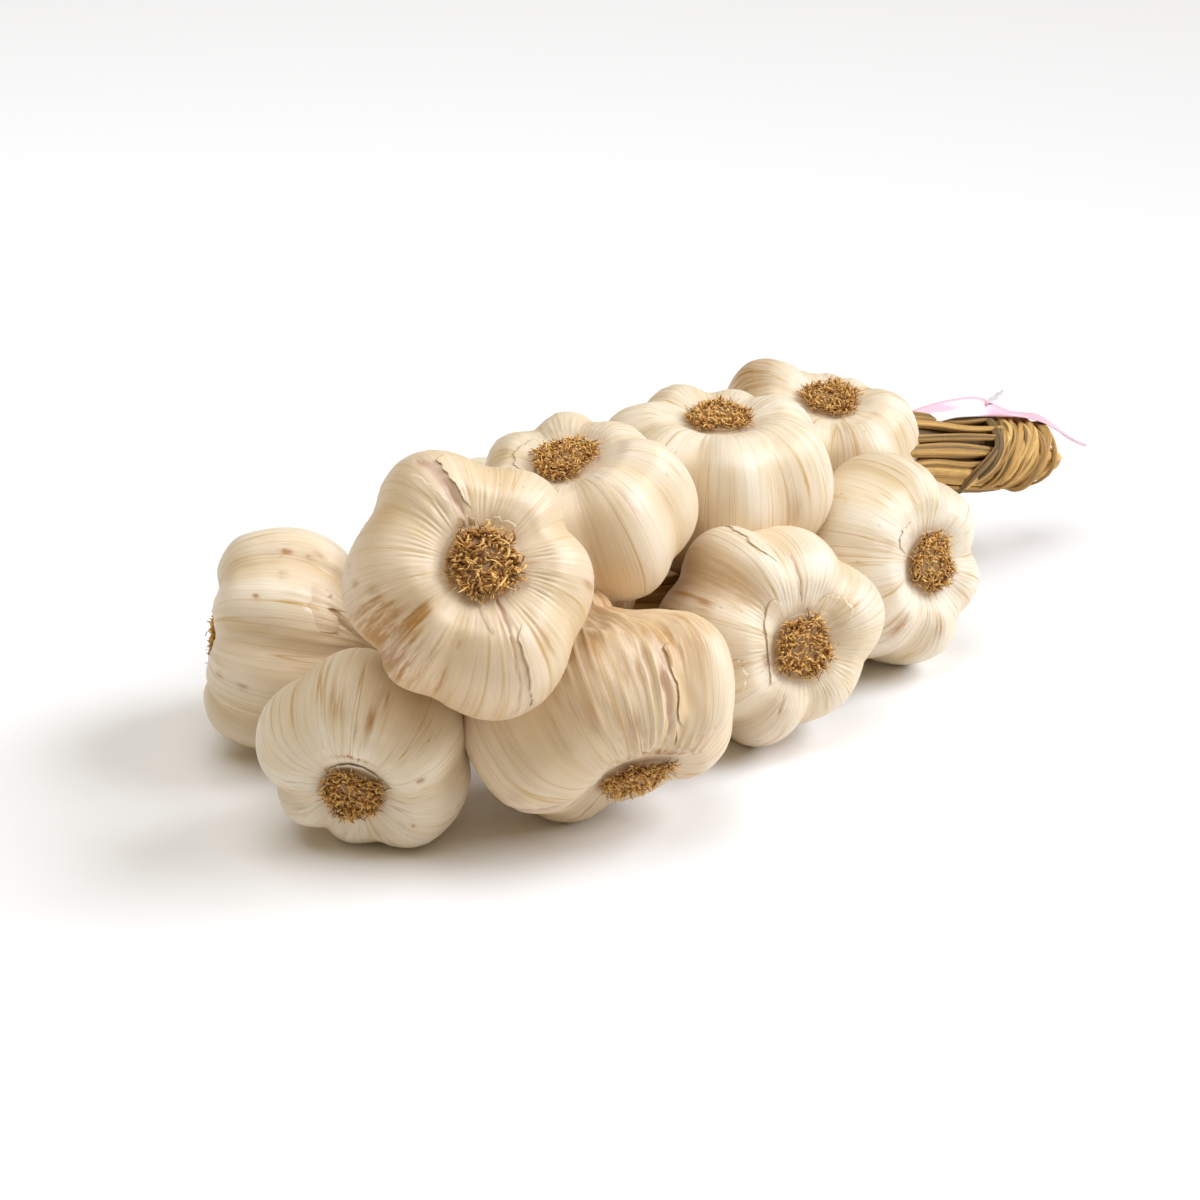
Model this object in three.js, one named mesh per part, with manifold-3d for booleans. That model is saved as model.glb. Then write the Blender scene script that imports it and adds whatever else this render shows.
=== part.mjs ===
// A garlic braid lying on a table: eleven bulbs whose necks run into one plait of dried stems,
// and a ribbon knotted on the plait's free end.
// Millimetres. +X runs along the braid from the bulbs to the plait's free end, +Y to its left, +Z up.
// The origin is on the table, under the middle of the braid's box.

import * as THREE from "three";
import { mergeVertices } from "three/addons/utils/BufferGeometryUtils.js";
import Module from "manifold-3d";

const wasm = await Module();
wasm.setup();

// Driving dimensions
const CLEARANCE = 0.35; // gap kept between touching pieces
const FLAT_SINK = 0.5; // how far a bulb on the table is pressed flat
const TABLE = { side: 600, depth: 40 }; // the block that cuts those flats

// Bulbs. A profile point is [height, radius, lobing], in shares of the bulb's radius, from root to neck.
const BULB_PROFILE = [
  [-0.66, 0.0, 0.0],
  [-0.65, 0.16, 0.0],
  [-0.62, 0.29, 0.0],
  [-0.58, 0.33, 0.1],
  [-0.65, 0.46, 0.35],
  [-0.66, 0.62, 0.65],
  [-0.54, 0.84, 0.95],
  [-0.27, 0.97, 1.0],
  [0.03, 1.0, 0.95],
  [0.31, 0.9, 0.8],
  [0.53, 0.68, 0.6],
  [0.7, 0.44, 0.4],
  [0.86, 0.26, 0.2],
  [0.98, 0.0, 0.0],
];
const ROOT_RINGS = 3; // the first rings of the profile are the root plate
// Where a neck starts and bends, as shares of the bulb's radius
const NECK = { radius: 5, sides: 7, steps: 5, from: 0.6, bend: 1.15 };
const VALLEY_DEPTH = 0.11; // of a valley between two cloves, as a share of the bulb's radius
const VALLEY_ROUNDING = 0.3;
const CLOVE_STEPS = 4; // facets across one clove
const ROOT_ROUGHNESS = 1.0;
const ROOT_STUBS = 5;
const FIRST_SEED = 101;
const ROOT_STUB = { radius: 1.5, length: 4.5, rise: 0.5, lean: 0.8 };

// Each bulb's centre, diameter, root direction (heading from +X, then elevation) in degrees, and its
// cloves. A clove is the clock angle where it starts, seen by someone who faces the root, and how proud
// it stands, as a share of the bulb's radius. A bulb with no height lies on the table. The shoulder is the
// share that a flattened bulb keeps of its height on the neck's side.
const BULBS = [
  { name: "bulb_front", x: -86, y: 3.5, size: 55, heading: -148, elevation: -14,
    cloves: [[36, 0], [88, 0.03], [165, -0.15], [212, -0.1], [262, 0], [316, 0.02]] },
  { name: "bulb_left_front", x: -60, y: 55.5, size: 59, heading: 130, elevation: 8,
    cloves: [[20, 0.04], [70, 0], [120, 0.01], [165, -0.03], [215, -0.02], [280, -0.03], [335, 0.06]] },
  { name: "bulb_right_front", x: -40.5, y: -37, size: 68, heading: -116, elevation: -42, shoulder: 0.76,
    cloves: [[15, 0.02], [62, -0.08], [125, -0.16], [185, 0.04], [235, 0.16], [310, -0.1]] },
  { name: "bulb_top_front", x: -75.5, y: -22.5, z: 71.5, size: 64, heading: -125, elevation: 37,
    cloves: [[14, -0.04], [69, -0.07], [125, 0.06], [205, -0.05], [240, -0.06], [312, 0.04]] },
  { name: "bulb_right_middle", x: 24, y: -37.5, size: 61, heading: -112, elevation: 16,
    cloves: [[0, 0], [45, 0.03], [112, -0.16], [178, -0.08], [225, -0.02], [270, 0.06], [315, 0.12]] },
  { name: "bulb_left_middle", x: 6, y: 48, size: 60, heading: 89, elevation: 8,
    cloves: [[30, 0], [85, -0.02], [140, 0], [190, -0.03], [250, 0.02], [310, 0]] },
  { name: "bulb_top_second", x: -11, y: -3.5, z: 63.5, size: 60, heading: 175, elevation: 70,
    cloves: [[30, 0], [75, 0.05], [130, 0.04], [185, 0.02], [240, 0.03], [290, -0.04], [335, -0.13]] },
  { name: "bulb_right_back", x: 81, y: -33, size: 60, heading: -96, elevation: 15,
    cloves: [[40, -0.06], [95, -0.05], [150, 0], [205, 0], [255, 0.03], [345, -0.01]] },
  { name: "bulb_left_back", x: 72, y: 41, size: 58, heading: 97, elevation: 6,
    cloves: [[15, 0], [65, 0.02], [120, -0.03], [175, 0], [230, 0.02], [295, 0]] },
  { name: "bulb_top_third", x: 46, y: -3, z: 55, size: 63, heading: -140, elevation: 86,
    cloves: [[35, -0.05], [85, 0], [140, 0.02], [200, 0.03], [250, 0.08], [305, 0.02], [350, -0.08]] },
  { name: "bulb_top_back", x: 108, y: 6, z: 43.5, size: 58, heading: -134, elevation: 76,
    cloves: [[20, -0.26], [62, -0.08], [130, 0], [190, 0.02], [240, 0.03], [284, 0.16], [335, -0.24]] },
];

// Plait. Points of its middle line from the first bulbs to the free end.
const PLAIT_LINE = [
  [-60, 3, 35], [-20, 1, 31], [30, -1, 25], [75, -1, 16], [104, -1, 13],
  [122, -6, 22], [140, -11, 36], [155, -14, 33.5], [168, -17, 30.5], [179, -19, 27.5],
];
const CORE = { radius: 8, sides: 8, steps: 14 };
const TAIL_START = 0.62; // share of the line where the plaited strands begin to show
const STRANDS = 3;
const STRAND = { width: 6.8, thickness: 4.6, sides: 7, steps: 22, sway: 6.5, lift: 4.2, turns: 1.6 };
const TAIL_TAPER = 0.3; // share of the strands' size that is lost by the free end
const TAIL_END = 0.985; // share of the line where the plaited strands stop
const LINE_POINTS = 30; // points taken along a strand or a wrap
const WRAP = { from: 0.83, to: 0.93, turns: 2.5, radius: 10.2, stem: 2.6, sides: 5, steps: 24 };
const STEM_ENDS = { count: 6, radius: 2.4, ring: 4.2, fan: 1.2, from: 0.95, reach: 4.5, sides: 5, seed: 31 };

// Ribbon. Its side line is [along, height] from RIBBON_FROM, in the upright plane at RIBBON_HEADING.
const RIBBON_FROM = [126, -6];
const RIBBON_HEADING = -10;
const RIBBON_LINE = [
  [12, 51.5], [20, 51.2], [30, 48.8], [41, 44.3], [46, 41.4], [54, 35.8], [62, 30.4], [69, 27.2], [76, 25],
];
const RIBBON = { width: 6, thickness: 0.9, steps: 16, tip: 12, point: 0.1 };
const KNOT = { along: 36, height: 46.8, radius: 1.8 };
const LOOSE_END = { width: 2.5, length: 7.5, lean: 1.25 };

const SKIN = { color: 0xe9dcc6, roughness: 0.55, metalness: 0 };
const STEM = { color: 0xa98552, roughness: 0.8, metalness: 0 };
const PINK = { color: 0xe3b3bf, roughness: 0.4, metalness: 0 };

// A repeatable random draw between 0 and 1
function seededDraw(seed) {
  let state = seed;
  return () => {
    state = (state * 16807) % 2147483647;
    return state / 2147483647;
  };
}

// A closed geometry as a solid, and a solid as a geometry
function toSolid(geometry, matrix = new THREE.Matrix4()) {
  const bare = geometry.clone().applyMatrix4(matrix);
  bare.deleteAttribute("normal");
  bare.deleteAttribute("uv");
  const merged = mergeVertices(bare, 1e-4);
  return new wasm.Manifold(
    new wasm.Mesh({
      numProp: 3,
      vertProperties: new Float32Array(merged.attributes.position.array),
      triVerts: new Uint32Array(merged.index.array),
    }),
  );
}

function toGeometry(solid) {
  const { vertProperties, triVerts } = solid.getMesh();
  const geometry = new THREE.BufferGeometry();
  geometry.setAttribute("position", new THREE.BufferAttribute(vertProperties, 3));
  geometry.setIndex(new THREE.BufferAttribute(triVerts, 1));
  geometry.computeVertexNormals();
  return geometry;
}

const plaitCurve = new THREE.CatmullRomCurve3(PLAIT_LINE.map((point) => new THREE.Vector3(...point)));

// The point of the plait's middle line that is nearest to a place
function nearestOnPlait(place) {
  const points = plaitCurve.getPoints(200);
  return points.reduce((best, point) => (point.distanceTo(place) < best.distanceTo(place) ? point : best));
}

// The bulb's own frame: root at -Y, neck at +Y, clock angle 0 at +Z and 90 at +X
function bulbMatrix(bulb) {
  const heading = THREE.MathUtils.degToRad(bulb.heading);
  const elevation = THREE.MathUtils.degToRad(bulb.elevation);
  const root = new THREE.Vector3(
    Math.cos(elevation) * Math.cos(heading),
    Math.cos(elevation) * Math.sin(heading),
    Math.sin(elevation),
  );
  const across = new THREE.Vector3(-Math.sin(heading), Math.cos(heading), 0);
  const up = new THREE.Vector3().crossVectors(root, across);
  const matrix = new THREE.Matrix4().makeBasis(across, root.negate(), up);
  return matrix.setPosition(bulb.x, bulb.y, bulb.z ?? 0);
}

// A step round the bulb: its clock angle, and how far the skin stands proud there, as a share of the bulb's
// radius. A valley lies below the mean of the two cloves that meet in it.
function cloveStep(cloves, step) {
  const count = cloves.length;
  const index = Math.floor(step / CLOVE_STEPS) % count;
  const [from, crest] = cloves[index];
  const [to, after] = cloves[(index + 1) % count];
  const before = cloves[(index + count - 1) % count][1];
  const share = (step % CLOVE_STEPS) / CLOVE_STEPS;
  const rise = Math.hypot(Math.sin(Math.PI * share), VALLEY_ROUNDING) - VALLEY_ROUNDING;
  const swell = rise / (Math.hypot(1, VALLEY_ROUNDING) - VALLEY_ROUNDING);
  const floor = THREE.MathUtils.lerp((before + crest) / 2, (crest + after) / 2, share) - VALLEY_DEPTH;
  const width = (to - from + 360) % 360;
  return {
    angle: THREE.MathUtils.degToRad(from + share * width),
    proud: THREE.MathUtils.lerp(floor, crest, swell),
  };
}

// The lobed bulb with its rough root plate, in the bulb's frame
function bulbGeometry(bulb, grow = 0) {
  const radius = bulb.size / 2;
  const draw = seededDraw(bulb.seed);
  const steps = bulb.cloves.length * CLOVE_STEPS;
  const outline = BULB_PROFILE.map(([height, ring]) => new THREE.Vector2(ring, height));
  const geometry = new THREE.LatheGeometry(outline, steps);
  const bump = (row) => (row > 0 && row < ROOT_RINGS ? ROOT_ROUGHNESS * (draw() - 0.5) : 0);
  const roughness = BULB_PROFILE.map((_, row) => Array.from({ length: steps }, () => bump(row)));
  for (let step = 0; step <= steps; step++) {
    const { angle, proud } = cloveStep(bulb.cloves, step % steps);
    BULB_PROFILE.forEach(([height, ring, lobing], row) => {
      const scale = 1 + lobing * proud;
      const out = ring > 0 ? ring * radius * scale + grow : 0;
      const tall = height > 0 ? height * (bulb.shoulder ?? 1) : height;
      const along = tall * radius * scale + Math.sign(height) * grow + roughness[row][step % steps];
      const index = step * BULB_PROFILE.length + row;
      geometry.attributes.position.setXYZ(index, out * Math.sin(angle), along, out * Math.cos(angle));
    });
  }
  return geometry;
}

// Trimmed root ends that stand on the root plate, in the bulb's frame
function rootStubs(bulb, grow) {
  const draw = seededDraw(bulb.seed + 1);
  const radius = bulb.size / 2;
  const plate = BULB_PROFILE[0][0] * radius;
  const cone = new THREE.ConeGeometry(ROOT_STUB.radius + grow, ROOT_STUB.length + 3 * grow, 4);
  return Array.from({ length: ROOT_STUBS }, (_, i) => {
    const angle = (2 * Math.PI * (i + draw())) / ROOT_STUBS;
    const away = BULB_PROFILE[1][1] * radius * THREE.MathUtils.lerp(0.5, 1.2, draw());
    const place = new THREE.Object3D();
    place.position.set(away * Math.sin(angle), plate - ROOT_STUB.rise, away * Math.cos(angle));
    place.rotation.set(Math.PI + ROOT_STUB.lean * (draw() - 0.5), 0, ROOT_STUB.lean * (draw() - 0.5));
    place.updateMatrix();
    return toSolid(cone, place.matrix.premultiply(bulb.matrix));
  });
}

// Drops a bulb that has no height until it is pressed into the table
function settle(bulb) {
  if (bulb.z !== undefined) return bulb;
  const geometry = bulbGeometry(bulb).applyMatrix4(bulbMatrix(bulb));
  geometry.computeBoundingBox();
  return { ...bulb, z: -geometry.boundingBox.min.z - FLAT_SINK };
}

function sectionShape(halfWidth, halfThickness, sides) {
  const shape = new THREE.Shape();
  for (let i = 0; i < sides; i++) {
    const angle = (2 * Math.PI * i) / sides;
    const x = halfWidth * Math.cos(angle);
    const y = halfThickness * Math.sin(angle);
    if (i === 0) shape.moveTo(x, y);
    else shape.lineTo(x, y);
  }
  shape.closePath();
  return shape;
}

// A tube of one section along a curve
function tubeSolid(curve, halfWidth, halfThickness, sides, steps) {
  const shape = sectionShape(halfWidth, halfThickness, sides);
  return toSolid(new THREE.ExtrudeGeometry(shape, { steps, extrudePath: curve, bevelEnabled: false }));
}

// The neck, which bends from the bulb to the nearest place on the plait's middle line
function neckSolid(bulb, grow) {
  const tall = ((bulb.shoulder ?? 1) * bulb.size) / 2;
  const from = new THREE.Vector3(0, NECK.from * tall, 0).applyMatrix4(bulb.matrix);
  const bend = new THREE.Vector3(0, NECK.bend * tall, 0).applyMatrix4(bulb.matrix);
  const curve = new THREE.QuadraticBezierCurve3(from, bend, nearestOnPlait(bend));
  return tubeSolid(curve, NECK.radius + grow, NECK.radius + grow, NECK.sides, NECK.steps);
}

// A whole bulb in its place, grown by a clearance where it is used to cut its neighbours
function bulbSolid(bulb, grow = 0) {
  const body = toSolid(bulbGeometry(bulb, grow), bulb.matrix);
  return [neckSolid(bulb, grow), ...rootStubs(bulb, grow)].reduce((whole, piece) => whole.add(piece), body);
}

// A place beside the plait's middle line: aside to the left and up, in millimetres
function besidePlait(share, aside, up) {
  const tangent = plaitCurve.getTangentAt(share);
  const left = new THREE.Vector3(-tangent.y, tangent.x, 0).normalize();
  const above = new THREE.Vector3().crossVectors(tangent, left);
  return plaitCurve.getPointAt(share).addScaledVector(left, aside).addScaledVector(above, up);
}

const tailTaper = (share) => 1 - TAIL_TAPER * THREE.MathUtils.smoothstep(share, TAIL_START, 1);

// A smooth curve through the places that placeAt gives from 0 to 1
function curveThrough(placeAt) {
  const places = Array.from({ length: LINE_POINTS + 1 }, (_, i) => placeAt(i / LINE_POINTS));
  return new THREE.CatmullRomCurve3(places);
}

// One plaited strand of the tail
function strandSolid(index, grow) {
  const curve = curveThrough((along) => {
    const share = THREE.MathUtils.lerp(TAIL_START, TAIL_END, along);
    const phase = 2 * Math.PI * (STRAND.turns * along + index / STRANDS);
    const aside = tailTaper(share) * STRAND.sway * Math.sin(phase);
    const up = tailTaper(share) * STRAND.lift * Math.sin(2 * phase);
    return besidePlait(share, aside, up);
  });
  return tubeSolid(curve, STRAND.thickness + grow, STRAND.width + grow, STRAND.sides, STRAND.steps);
}

// The stem that is wound round the plait near its end
function wrapSolid(grow) {
  const curve = curveThrough((along) => {
    const turn = 2 * Math.PI * WRAP.turns * along;
    const share = THREE.MathUtils.lerp(WRAP.from, WRAP.to, along);
    return besidePlait(share, WRAP.radius * Math.sin(turn), WRAP.radius * Math.cos(turn));
  });
  return tubeSolid(curve, WRAP.stem + grow, WRAP.stem + grow, WRAP.sides, WRAP.steps);
}

// Cut stem ends that fan out of the tail
function stemEndSolids(grow) {
  const draw = seededDraw(STEM_ENDS.seed);
  return Array.from({ length: STEM_ENDS.count }, (_, i) => {
    const angle = (2 * Math.PI * i) / STEM_ENDS.count;
    const aside = STEM_ENDS.ring * Math.cos(angle);
    const up = STEM_ENDS.ring * Math.sin(angle);
    const from = besidePlait(STEM_ENDS.from, aside, up);
    const to = besidePlait(1, STEM_ENDS.fan * aside, STEM_ENDS.fan * up);
    to.addScaledVector(plaitCurve.getTangentAt(1), STEM_ENDS.reach * THREE.MathUtils.lerp(0.4, 1, draw()));
    const radius = STEM_ENDS.radius + grow;
    return tubeSolid(new THREE.LineCurve3(from, to), radius, radius, STEM_ENDS.sides, 1);
  });
}

// The whole plait, grown by a clearance where it is used to cut its neighbours
function plaitSolid(grow = 0) {
  const core = tubeSolid(plaitCurve, CORE.radius + grow, CORE.radius + grow, CORE.sides, CORE.steps);
  const strands = Array.from({ length: STRANDS }, (_, i) => strandSolid(i, grow));
  const pieces = [...strands, wrapSolid(grow), ...stemEndSolids(grow)];
  return pieces.reduce((whole, piece) => whole.add(piece), core);
}

// The ribbon's strip, which narrows to a point at its free end, with its knot and its short loose end
function ribbonSolid(grow = 0) {
  const line = new THREE.SplineCurve(RIBBON_LINE.map((point) => new THREE.Vector2(...point)));
  const half = RIBBON.thickness / 2 + grow;
  const stations = Array.from({ length: RIBBON.steps + 1 }, (_, i) => {
    const at = line.getPointAt(i / RIBBON.steps);
    const tangent = line.getTangentAt(i / RIBBON.steps);
    return { at, across: new THREE.Vector2(-tangent.y, tangent.x).multiplyScalar(half) };
  });
  const upper = stations.map(({ at, across }) => at.clone().add(across));
  const lower = stations.map(({ at, across }) => at.clone().sub(across)).reverse();
  const strip = new THREE.ExtrudeGeometry(new THREE.Shape([...upper, ...lower]), {
    depth: RIBBON.width + 2 * grow,
    bevelEnabled: false,
  });
  strip.translate(0, 0, -RIBBON.width / 2 - grow);
  const position = strip.attributes.position;
  const end = RIBBON_LINE[RIBBON_LINE.length - 1][0];
  for (let i = 0; i < position.count; i++) {
    const taper = THREE.MathUtils.clamp((end - position.getX(i)) / RIBBON.tip, RIBBON.point, 1);
    position.setZ(i, position.getZ(i) * taper);
  }
  const knot = new THREE.IcosahedronGeometry(KNOT.radius + grow, 1).translate(KNOT.along, KNOT.height, 0);
  const looseEnd = new THREE.BoxGeometry(2 * half, LOOSE_END.length + grow, LOOSE_END.width + 2 * grow);
  looseEnd.translate(0, LOOSE_END.length / 2, 0);
  looseEnd.rotateZ(-LOOSE_END.lean).translate(KNOT.along, KNOT.height, 0);
  const upright = new THREE.Matrix4()
    .makeTranslation(RIBBON_FROM[0], RIBBON_FROM[1], 0)
    .multiply(new THREE.Matrix4().makeRotationZ(THREE.MathUtils.degToRad(RIBBON_HEADING)))
    .multiply(new THREE.Matrix4().makeRotationX(Math.PI / 2));
  return toSolid(strip, upright).add(toSolid(knot, upright)).add(toSolid(looseEnd, upright));
}

const tableBlock = new THREE.BoxGeometry(TABLE.side, TABLE.side, TABLE.depth);
const table = toSolid(tableBlock.translate(0, 0, -TABLE.depth / 2));

// Bulbs, each cut clear of the plait, of the table and of the bulbs before it
const seeded = BULBS.map((bulb, index) => ({ ...bulb, seed: FIRST_SEED + 10 * index }));
const settled = seeded.map(settle).map((bulb) => ({ ...bulb, matrix: bulbMatrix(bulb) }));
const plaitCutter = plaitSolid(CLEARANCE);
const bulbMaterial = new THREE.MeshStandardMaterial(SKIN);

function bulbMesh(bulb, index) {
  let solid = bulbSolid(bulb);
  const centre = new THREE.Vector3().setFromMatrixPosition(bulb.matrix);
  for (const other of settled.slice(0, index)) {
    const apart = centre.distanceTo(new THREE.Vector3().setFromMatrixPosition(other.matrix));
    if (apart < bulb.size + other.size) {
      solid = solid.subtract(bulbSolid(other, CLEARANCE));
    }
  }
  const geometry = toGeometry(solid.subtract(plaitCutter).subtract(table));
  const mesh = new THREE.Mesh(geometry.applyMatrix4(bulb.matrix.clone().invert()), bulbMaterial.clone());
  mesh.applyMatrix4(bulb.matrix);
  mesh.name = bulb.name;
  return mesh;
}

function wholeMesh(name, solid, look) {
  const mesh = new THREE.Mesh(toGeometry(solid), new THREE.MeshStandardMaterial(look));
  mesh.name = name;
  return mesh;
}

const braid = new THREE.Group();
settled.map(bulbMesh).forEach((mesh) => braid.add(mesh));
braid.add(wholeMesh("plait", plaitSolid().subtract(ribbonSolid(CLEARANCE)).subtract(table), STEM));
braid.add(wholeMesh("ribbon", ribbonSolid(), PINK));

const middle = new THREE.Box3().setFromObject(braid, true).getCenter(new THREE.Vector3());
braid.position.set(-middle.x, -middle.y, 0);

const part = new THREE.Group();
part.add(braid);

export default part;
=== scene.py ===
import bpy
import numpy as np
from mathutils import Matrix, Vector


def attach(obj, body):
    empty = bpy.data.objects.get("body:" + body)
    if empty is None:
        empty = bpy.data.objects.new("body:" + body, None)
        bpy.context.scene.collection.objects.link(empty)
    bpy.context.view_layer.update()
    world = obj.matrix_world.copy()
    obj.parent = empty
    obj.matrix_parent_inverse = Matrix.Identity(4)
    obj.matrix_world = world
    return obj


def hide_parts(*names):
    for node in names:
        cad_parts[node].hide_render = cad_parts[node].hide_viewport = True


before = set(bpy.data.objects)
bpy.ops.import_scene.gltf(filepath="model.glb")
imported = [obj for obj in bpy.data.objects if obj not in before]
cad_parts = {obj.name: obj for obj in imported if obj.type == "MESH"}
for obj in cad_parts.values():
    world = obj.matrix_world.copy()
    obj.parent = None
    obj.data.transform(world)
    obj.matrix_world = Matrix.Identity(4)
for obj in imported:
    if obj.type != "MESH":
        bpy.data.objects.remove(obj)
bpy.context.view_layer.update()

MM = 0.001

# The braid's layout, in millimetres: X along the braid to the plait's free end, Y to its left, Z up.
# A bulb on the table is sunk a little and cut flat.
LAYOUT_MIDDLE = np.array([44.85, 5.82, 0.0])
FLAT_SINK = 0.5

# Camera
CAMERA_HEADING = 40.0
CAMERA_ELEVATION = 24.0
CAMERA_DISTANCE = 868.0
CAMERA_TARGET = np.array([0.0, 0.0, 35.0])
CAMERA_LENS = 99.0
CAMERA_SENSOR = 36.0

# Floor and light
FLOOR_SIZE = 12.0
FLOOR_COLOUR = (0.965, 0.962, 0.96)
FLOOR_ROUGHNESS = 0.6
WORLD_COLOUR = (1.0, 0.81, 0.50)
WORLD_STRENGTH = 0.25
SUN_FROM = (0.75, -0.73, 0.78)
SUN_COLOUR = (0.92, 0.985, 1.10)
SUN_STRENGTH = 3.05
SUN_SPREAD = 40.0
SOFTBOX_PLACE = (-0.24, 0.06, 1.08)
SOFTBOX_COLOUR = (0.95, 0.985, 1.04)
SOFTBOX_SIZE = 0.9
SOFTBOX_POWER = 7.2

# Colours
SKIN_BASE = [(0.36, (0.815, 0.685, 0.485)), (0.62, (0.87, 0.785, 0.645))]
SKIN_STREAK = (0.70, 0.57, 0.44)
# Tan of the veins and ridges, also used as the painted shade in the valleys between the cloves
VEIN_AND_VALLEY_SHADE = (0.56, 0.34, 0.09)
SKIN_TAN = (0.66, 0.42, 0.19)
SKIN_STAIN = (0.42, 0.20, 0.045)
SKIN_SPLIT = (0.58, 0.38, 0.26)
# The root plate's brown, made dark as painted shade in the gaps between the root fibres
ROOT_PLATE_AND_GAP_SHADE = (0.34, 0.19, 0.075)
ROOT_COLOURS = [(0, (0.17, 0.06, 0.01)), (0.4, (0.60, 0.30, 0.07)), (1, (0.92, 0.60, 0.21))]
STEM_COLOURS = [(0, (0.09, 0.05, 0.013)), (0.5, (0.64, 0.35, 0.09)), (1, (0.95, 0.64, 0.23))]
STEM_OLIVE = (0.20, 0.14, 0.04)
RIBBON_PINK = (0.85, 0.53, 0.62)
RIBBON_WHITE = (0.80, 0.79, 0.81)
RIBBON_STOPS = [(0.2, RIBBON_PINK), (0.7, RIBBON_WHITE)]
SKIN_ROUGHNESS = 0.4
SKIN_SPECULAR = 0.6
ROOT_ROUGHNESS = 0.75
STEM_ROUGHNESS = 0.7
RIBBON_ROUGHNESS = 0.3

# Noise on the skin: scale round the bulb (twice) and along it, detail, roughness
SKIN_NOISE = {
    "broad": ((2.6, 2.6, 2.6), 4, 0.6),
    "streaks": ((18.0, 18.0, 1.3), 4, 0.6),
    "veins": ((42.0, 42.0, 1.6), 4, 0.6),
    "fine": ((110.0, 110.0, 3.5), 3, 0.6),
    "lines": ((9.0, 9.0, 0.7), 1, 0.4),
    "threads": ((21.0, 21.0, 1.0), 1, 0.4),
    "uneven": ((5.0, 5.0, 4.0), 3, 0.6),
    "speckle": ((20.0, 20.0, 7.0), 5, 0.7),
}
# Masks are ramps from a value to a strength
PATCH_MASK = [(0.4, 0.25), (0.6, 1.0)]
BLOTCH_MASK = [(0.38, 0.1), (0.56, 1.0)]
SPECK_SCALE = (5.0, 5.0, 9.0)
SPECK_MASK = [(0.03, 1.0), (0.07, 0.0)]
SPECK_STRENGTH = 0.45
SKIN_LINES = [
    ("streaks", [(0.5, 0.0), (0.8, 0.16)], SKIN_STREAK),
    ("veins", [(0.58, 0.0), (0.74, 0.22)], VEIN_AND_VALLEY_SHADE),
    ("fine", [(0.5, 0.0), (0.8, 0.2)], SKIN_STREAK),
    ("lines", [(0.482, 0.0), (0.5, 0.9), (0.518, 0.0)], VEIN_AND_VALLEY_SHADE),
    ("threads", [(0.484, 0.0), (0.5, 0.6), (0.516, 0.0)], VEIN_AND_VALLEY_SHADE),
]
# Colour by rise: the root plate's brown, dark enough to paint the shade in the gaps between the root fibres,
# and the neck's tan
SKIN_ENDS = [
    ([(0.0, 1.0), (0.2, 0.95), (0.235, 0.6), (0.265, 0.12), (0.3, 0.0)], ROOT_PLATE_AND_GAP_SHADE),
    ([(0.56, 0.0), (0.82, 0.24), (1.0, 0.6)], SKIN_TAN),
]
TAN_STRENGTH = 2.0
# Painted shade: the skin is darkened with the vein colour in the valleys between the cloves and over the
# neck
VALLEY_SHADE_STRENGTH = 0.35
RIDGE_STRENGTH = 0.4
STAIN_STRENGTH = 2.1
SPLIT_STRENGTH = 0.95
# Noise on the stems, as on the skin: fibres shift the shade, olive patches lie over it
STEM_NOISE = ((7.0, 7.0, 0.5), 4, 0.6)
STEM_CONTRAST = 0.9
OLIVE_NOISE = ((0.8, 0.8, 1.2), 3, 0.6)
OLIVE_MASK = [(0.5, 0.0), (0.7, 0.5)]
# Bump: strength, and distance in metres
SKIN_BUMP = (0.35, 0.0003)
STEM_BUMP = (0.6, 0.0006)

# Bulb profile: height, radius and lobing in shares of the bulb's radius, from the root plate to the neck
BULB_PROFILE = [
    (-0.66, 0.02, 0.0),
    (-0.65, 0.14, 0.0),
    (-0.62, 0.25, 0.0),
    (-0.59, 0.30, 0.1),
    (-0.65, 0.46, 0.35),
    (-0.66, 0.62, 0.65),
    (-0.54, 0.84, 0.95),
    (-0.27, 0.97, 1.0),
    (0.03, 1.0, 0.95),
    (0.31, 0.9, 0.8),
    (0.53, 0.68, 0.6),
    (0.7, 0.44, 0.4),
    (0.86, 0.26, 0.2),
]
BODY_ROWS = 84
NECK_ROWS = 16
COLUMNS = 216
TORN_COLUMNS = 340
HIDDEN_COLUMNS = 112
NECK_RADIUS = 5.0
NECK_BEND = 1.15
NECK_NARROW_BY = 0.5
NECK_RISE = (1.02, 1.4)
# How much of the painted valley shade the neck takes
NECK_VALLEY_SHADE = 0.3
VALLEY_DEPTH = 0.11
VALLEY_ROUNDING = 0.3
VALLEY_WANDER = 2.5
BULB_SEED = 700
# Distance between the patterns of one bulb and the next
GRAIN_STEP = 3.1
# A place on the skin is looked up this much short of the last row, so that a row follows it
SHORT_OF_END = 0.001

# Waves in the skin: drift from root to neck, fewest and most round the bulb, how many are added up
WANDER_WAVES = (6, 1, 4, 5)
LUMP_WAVES = (7, 1, 5, 8)
RIDGE_BREAK_WAVES = (16, 4, 14, 6)
RIDGE_WAVES = (2.5, 12, 40, 9)
PLEAT_WAVES = (3.0, 14, 42, 7)
CRINKLE_WAVES = (40, 6, 40, 14)
ROOT_PLEAT_WAVES = (3, 22, 60, 7)
NECK_PLEAT_WAVES = (2, 7, 18, 6)
PLEAT_BREAK_WAVES = (9, 3, 9, 6)
STAIN_STREAK_WAVES = (4, 20, 60, 8)
# Relief of the skin: heights and depths in millimetres, widths in shares of a wave's height
LUMP_HEIGHT = 0.4
RIDGE_HEIGHT = 0.14
RIDGE_WIDTH = 0.13
PLEAT_WIDTH = 0.22
PLEAT_SINK = 0.3
CRINKLE_HEIGHT = 0.26
ROOT_PLEAT_DEPTH = 0.22
NECK_PLEAT_DEPTH = 0.8
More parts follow.
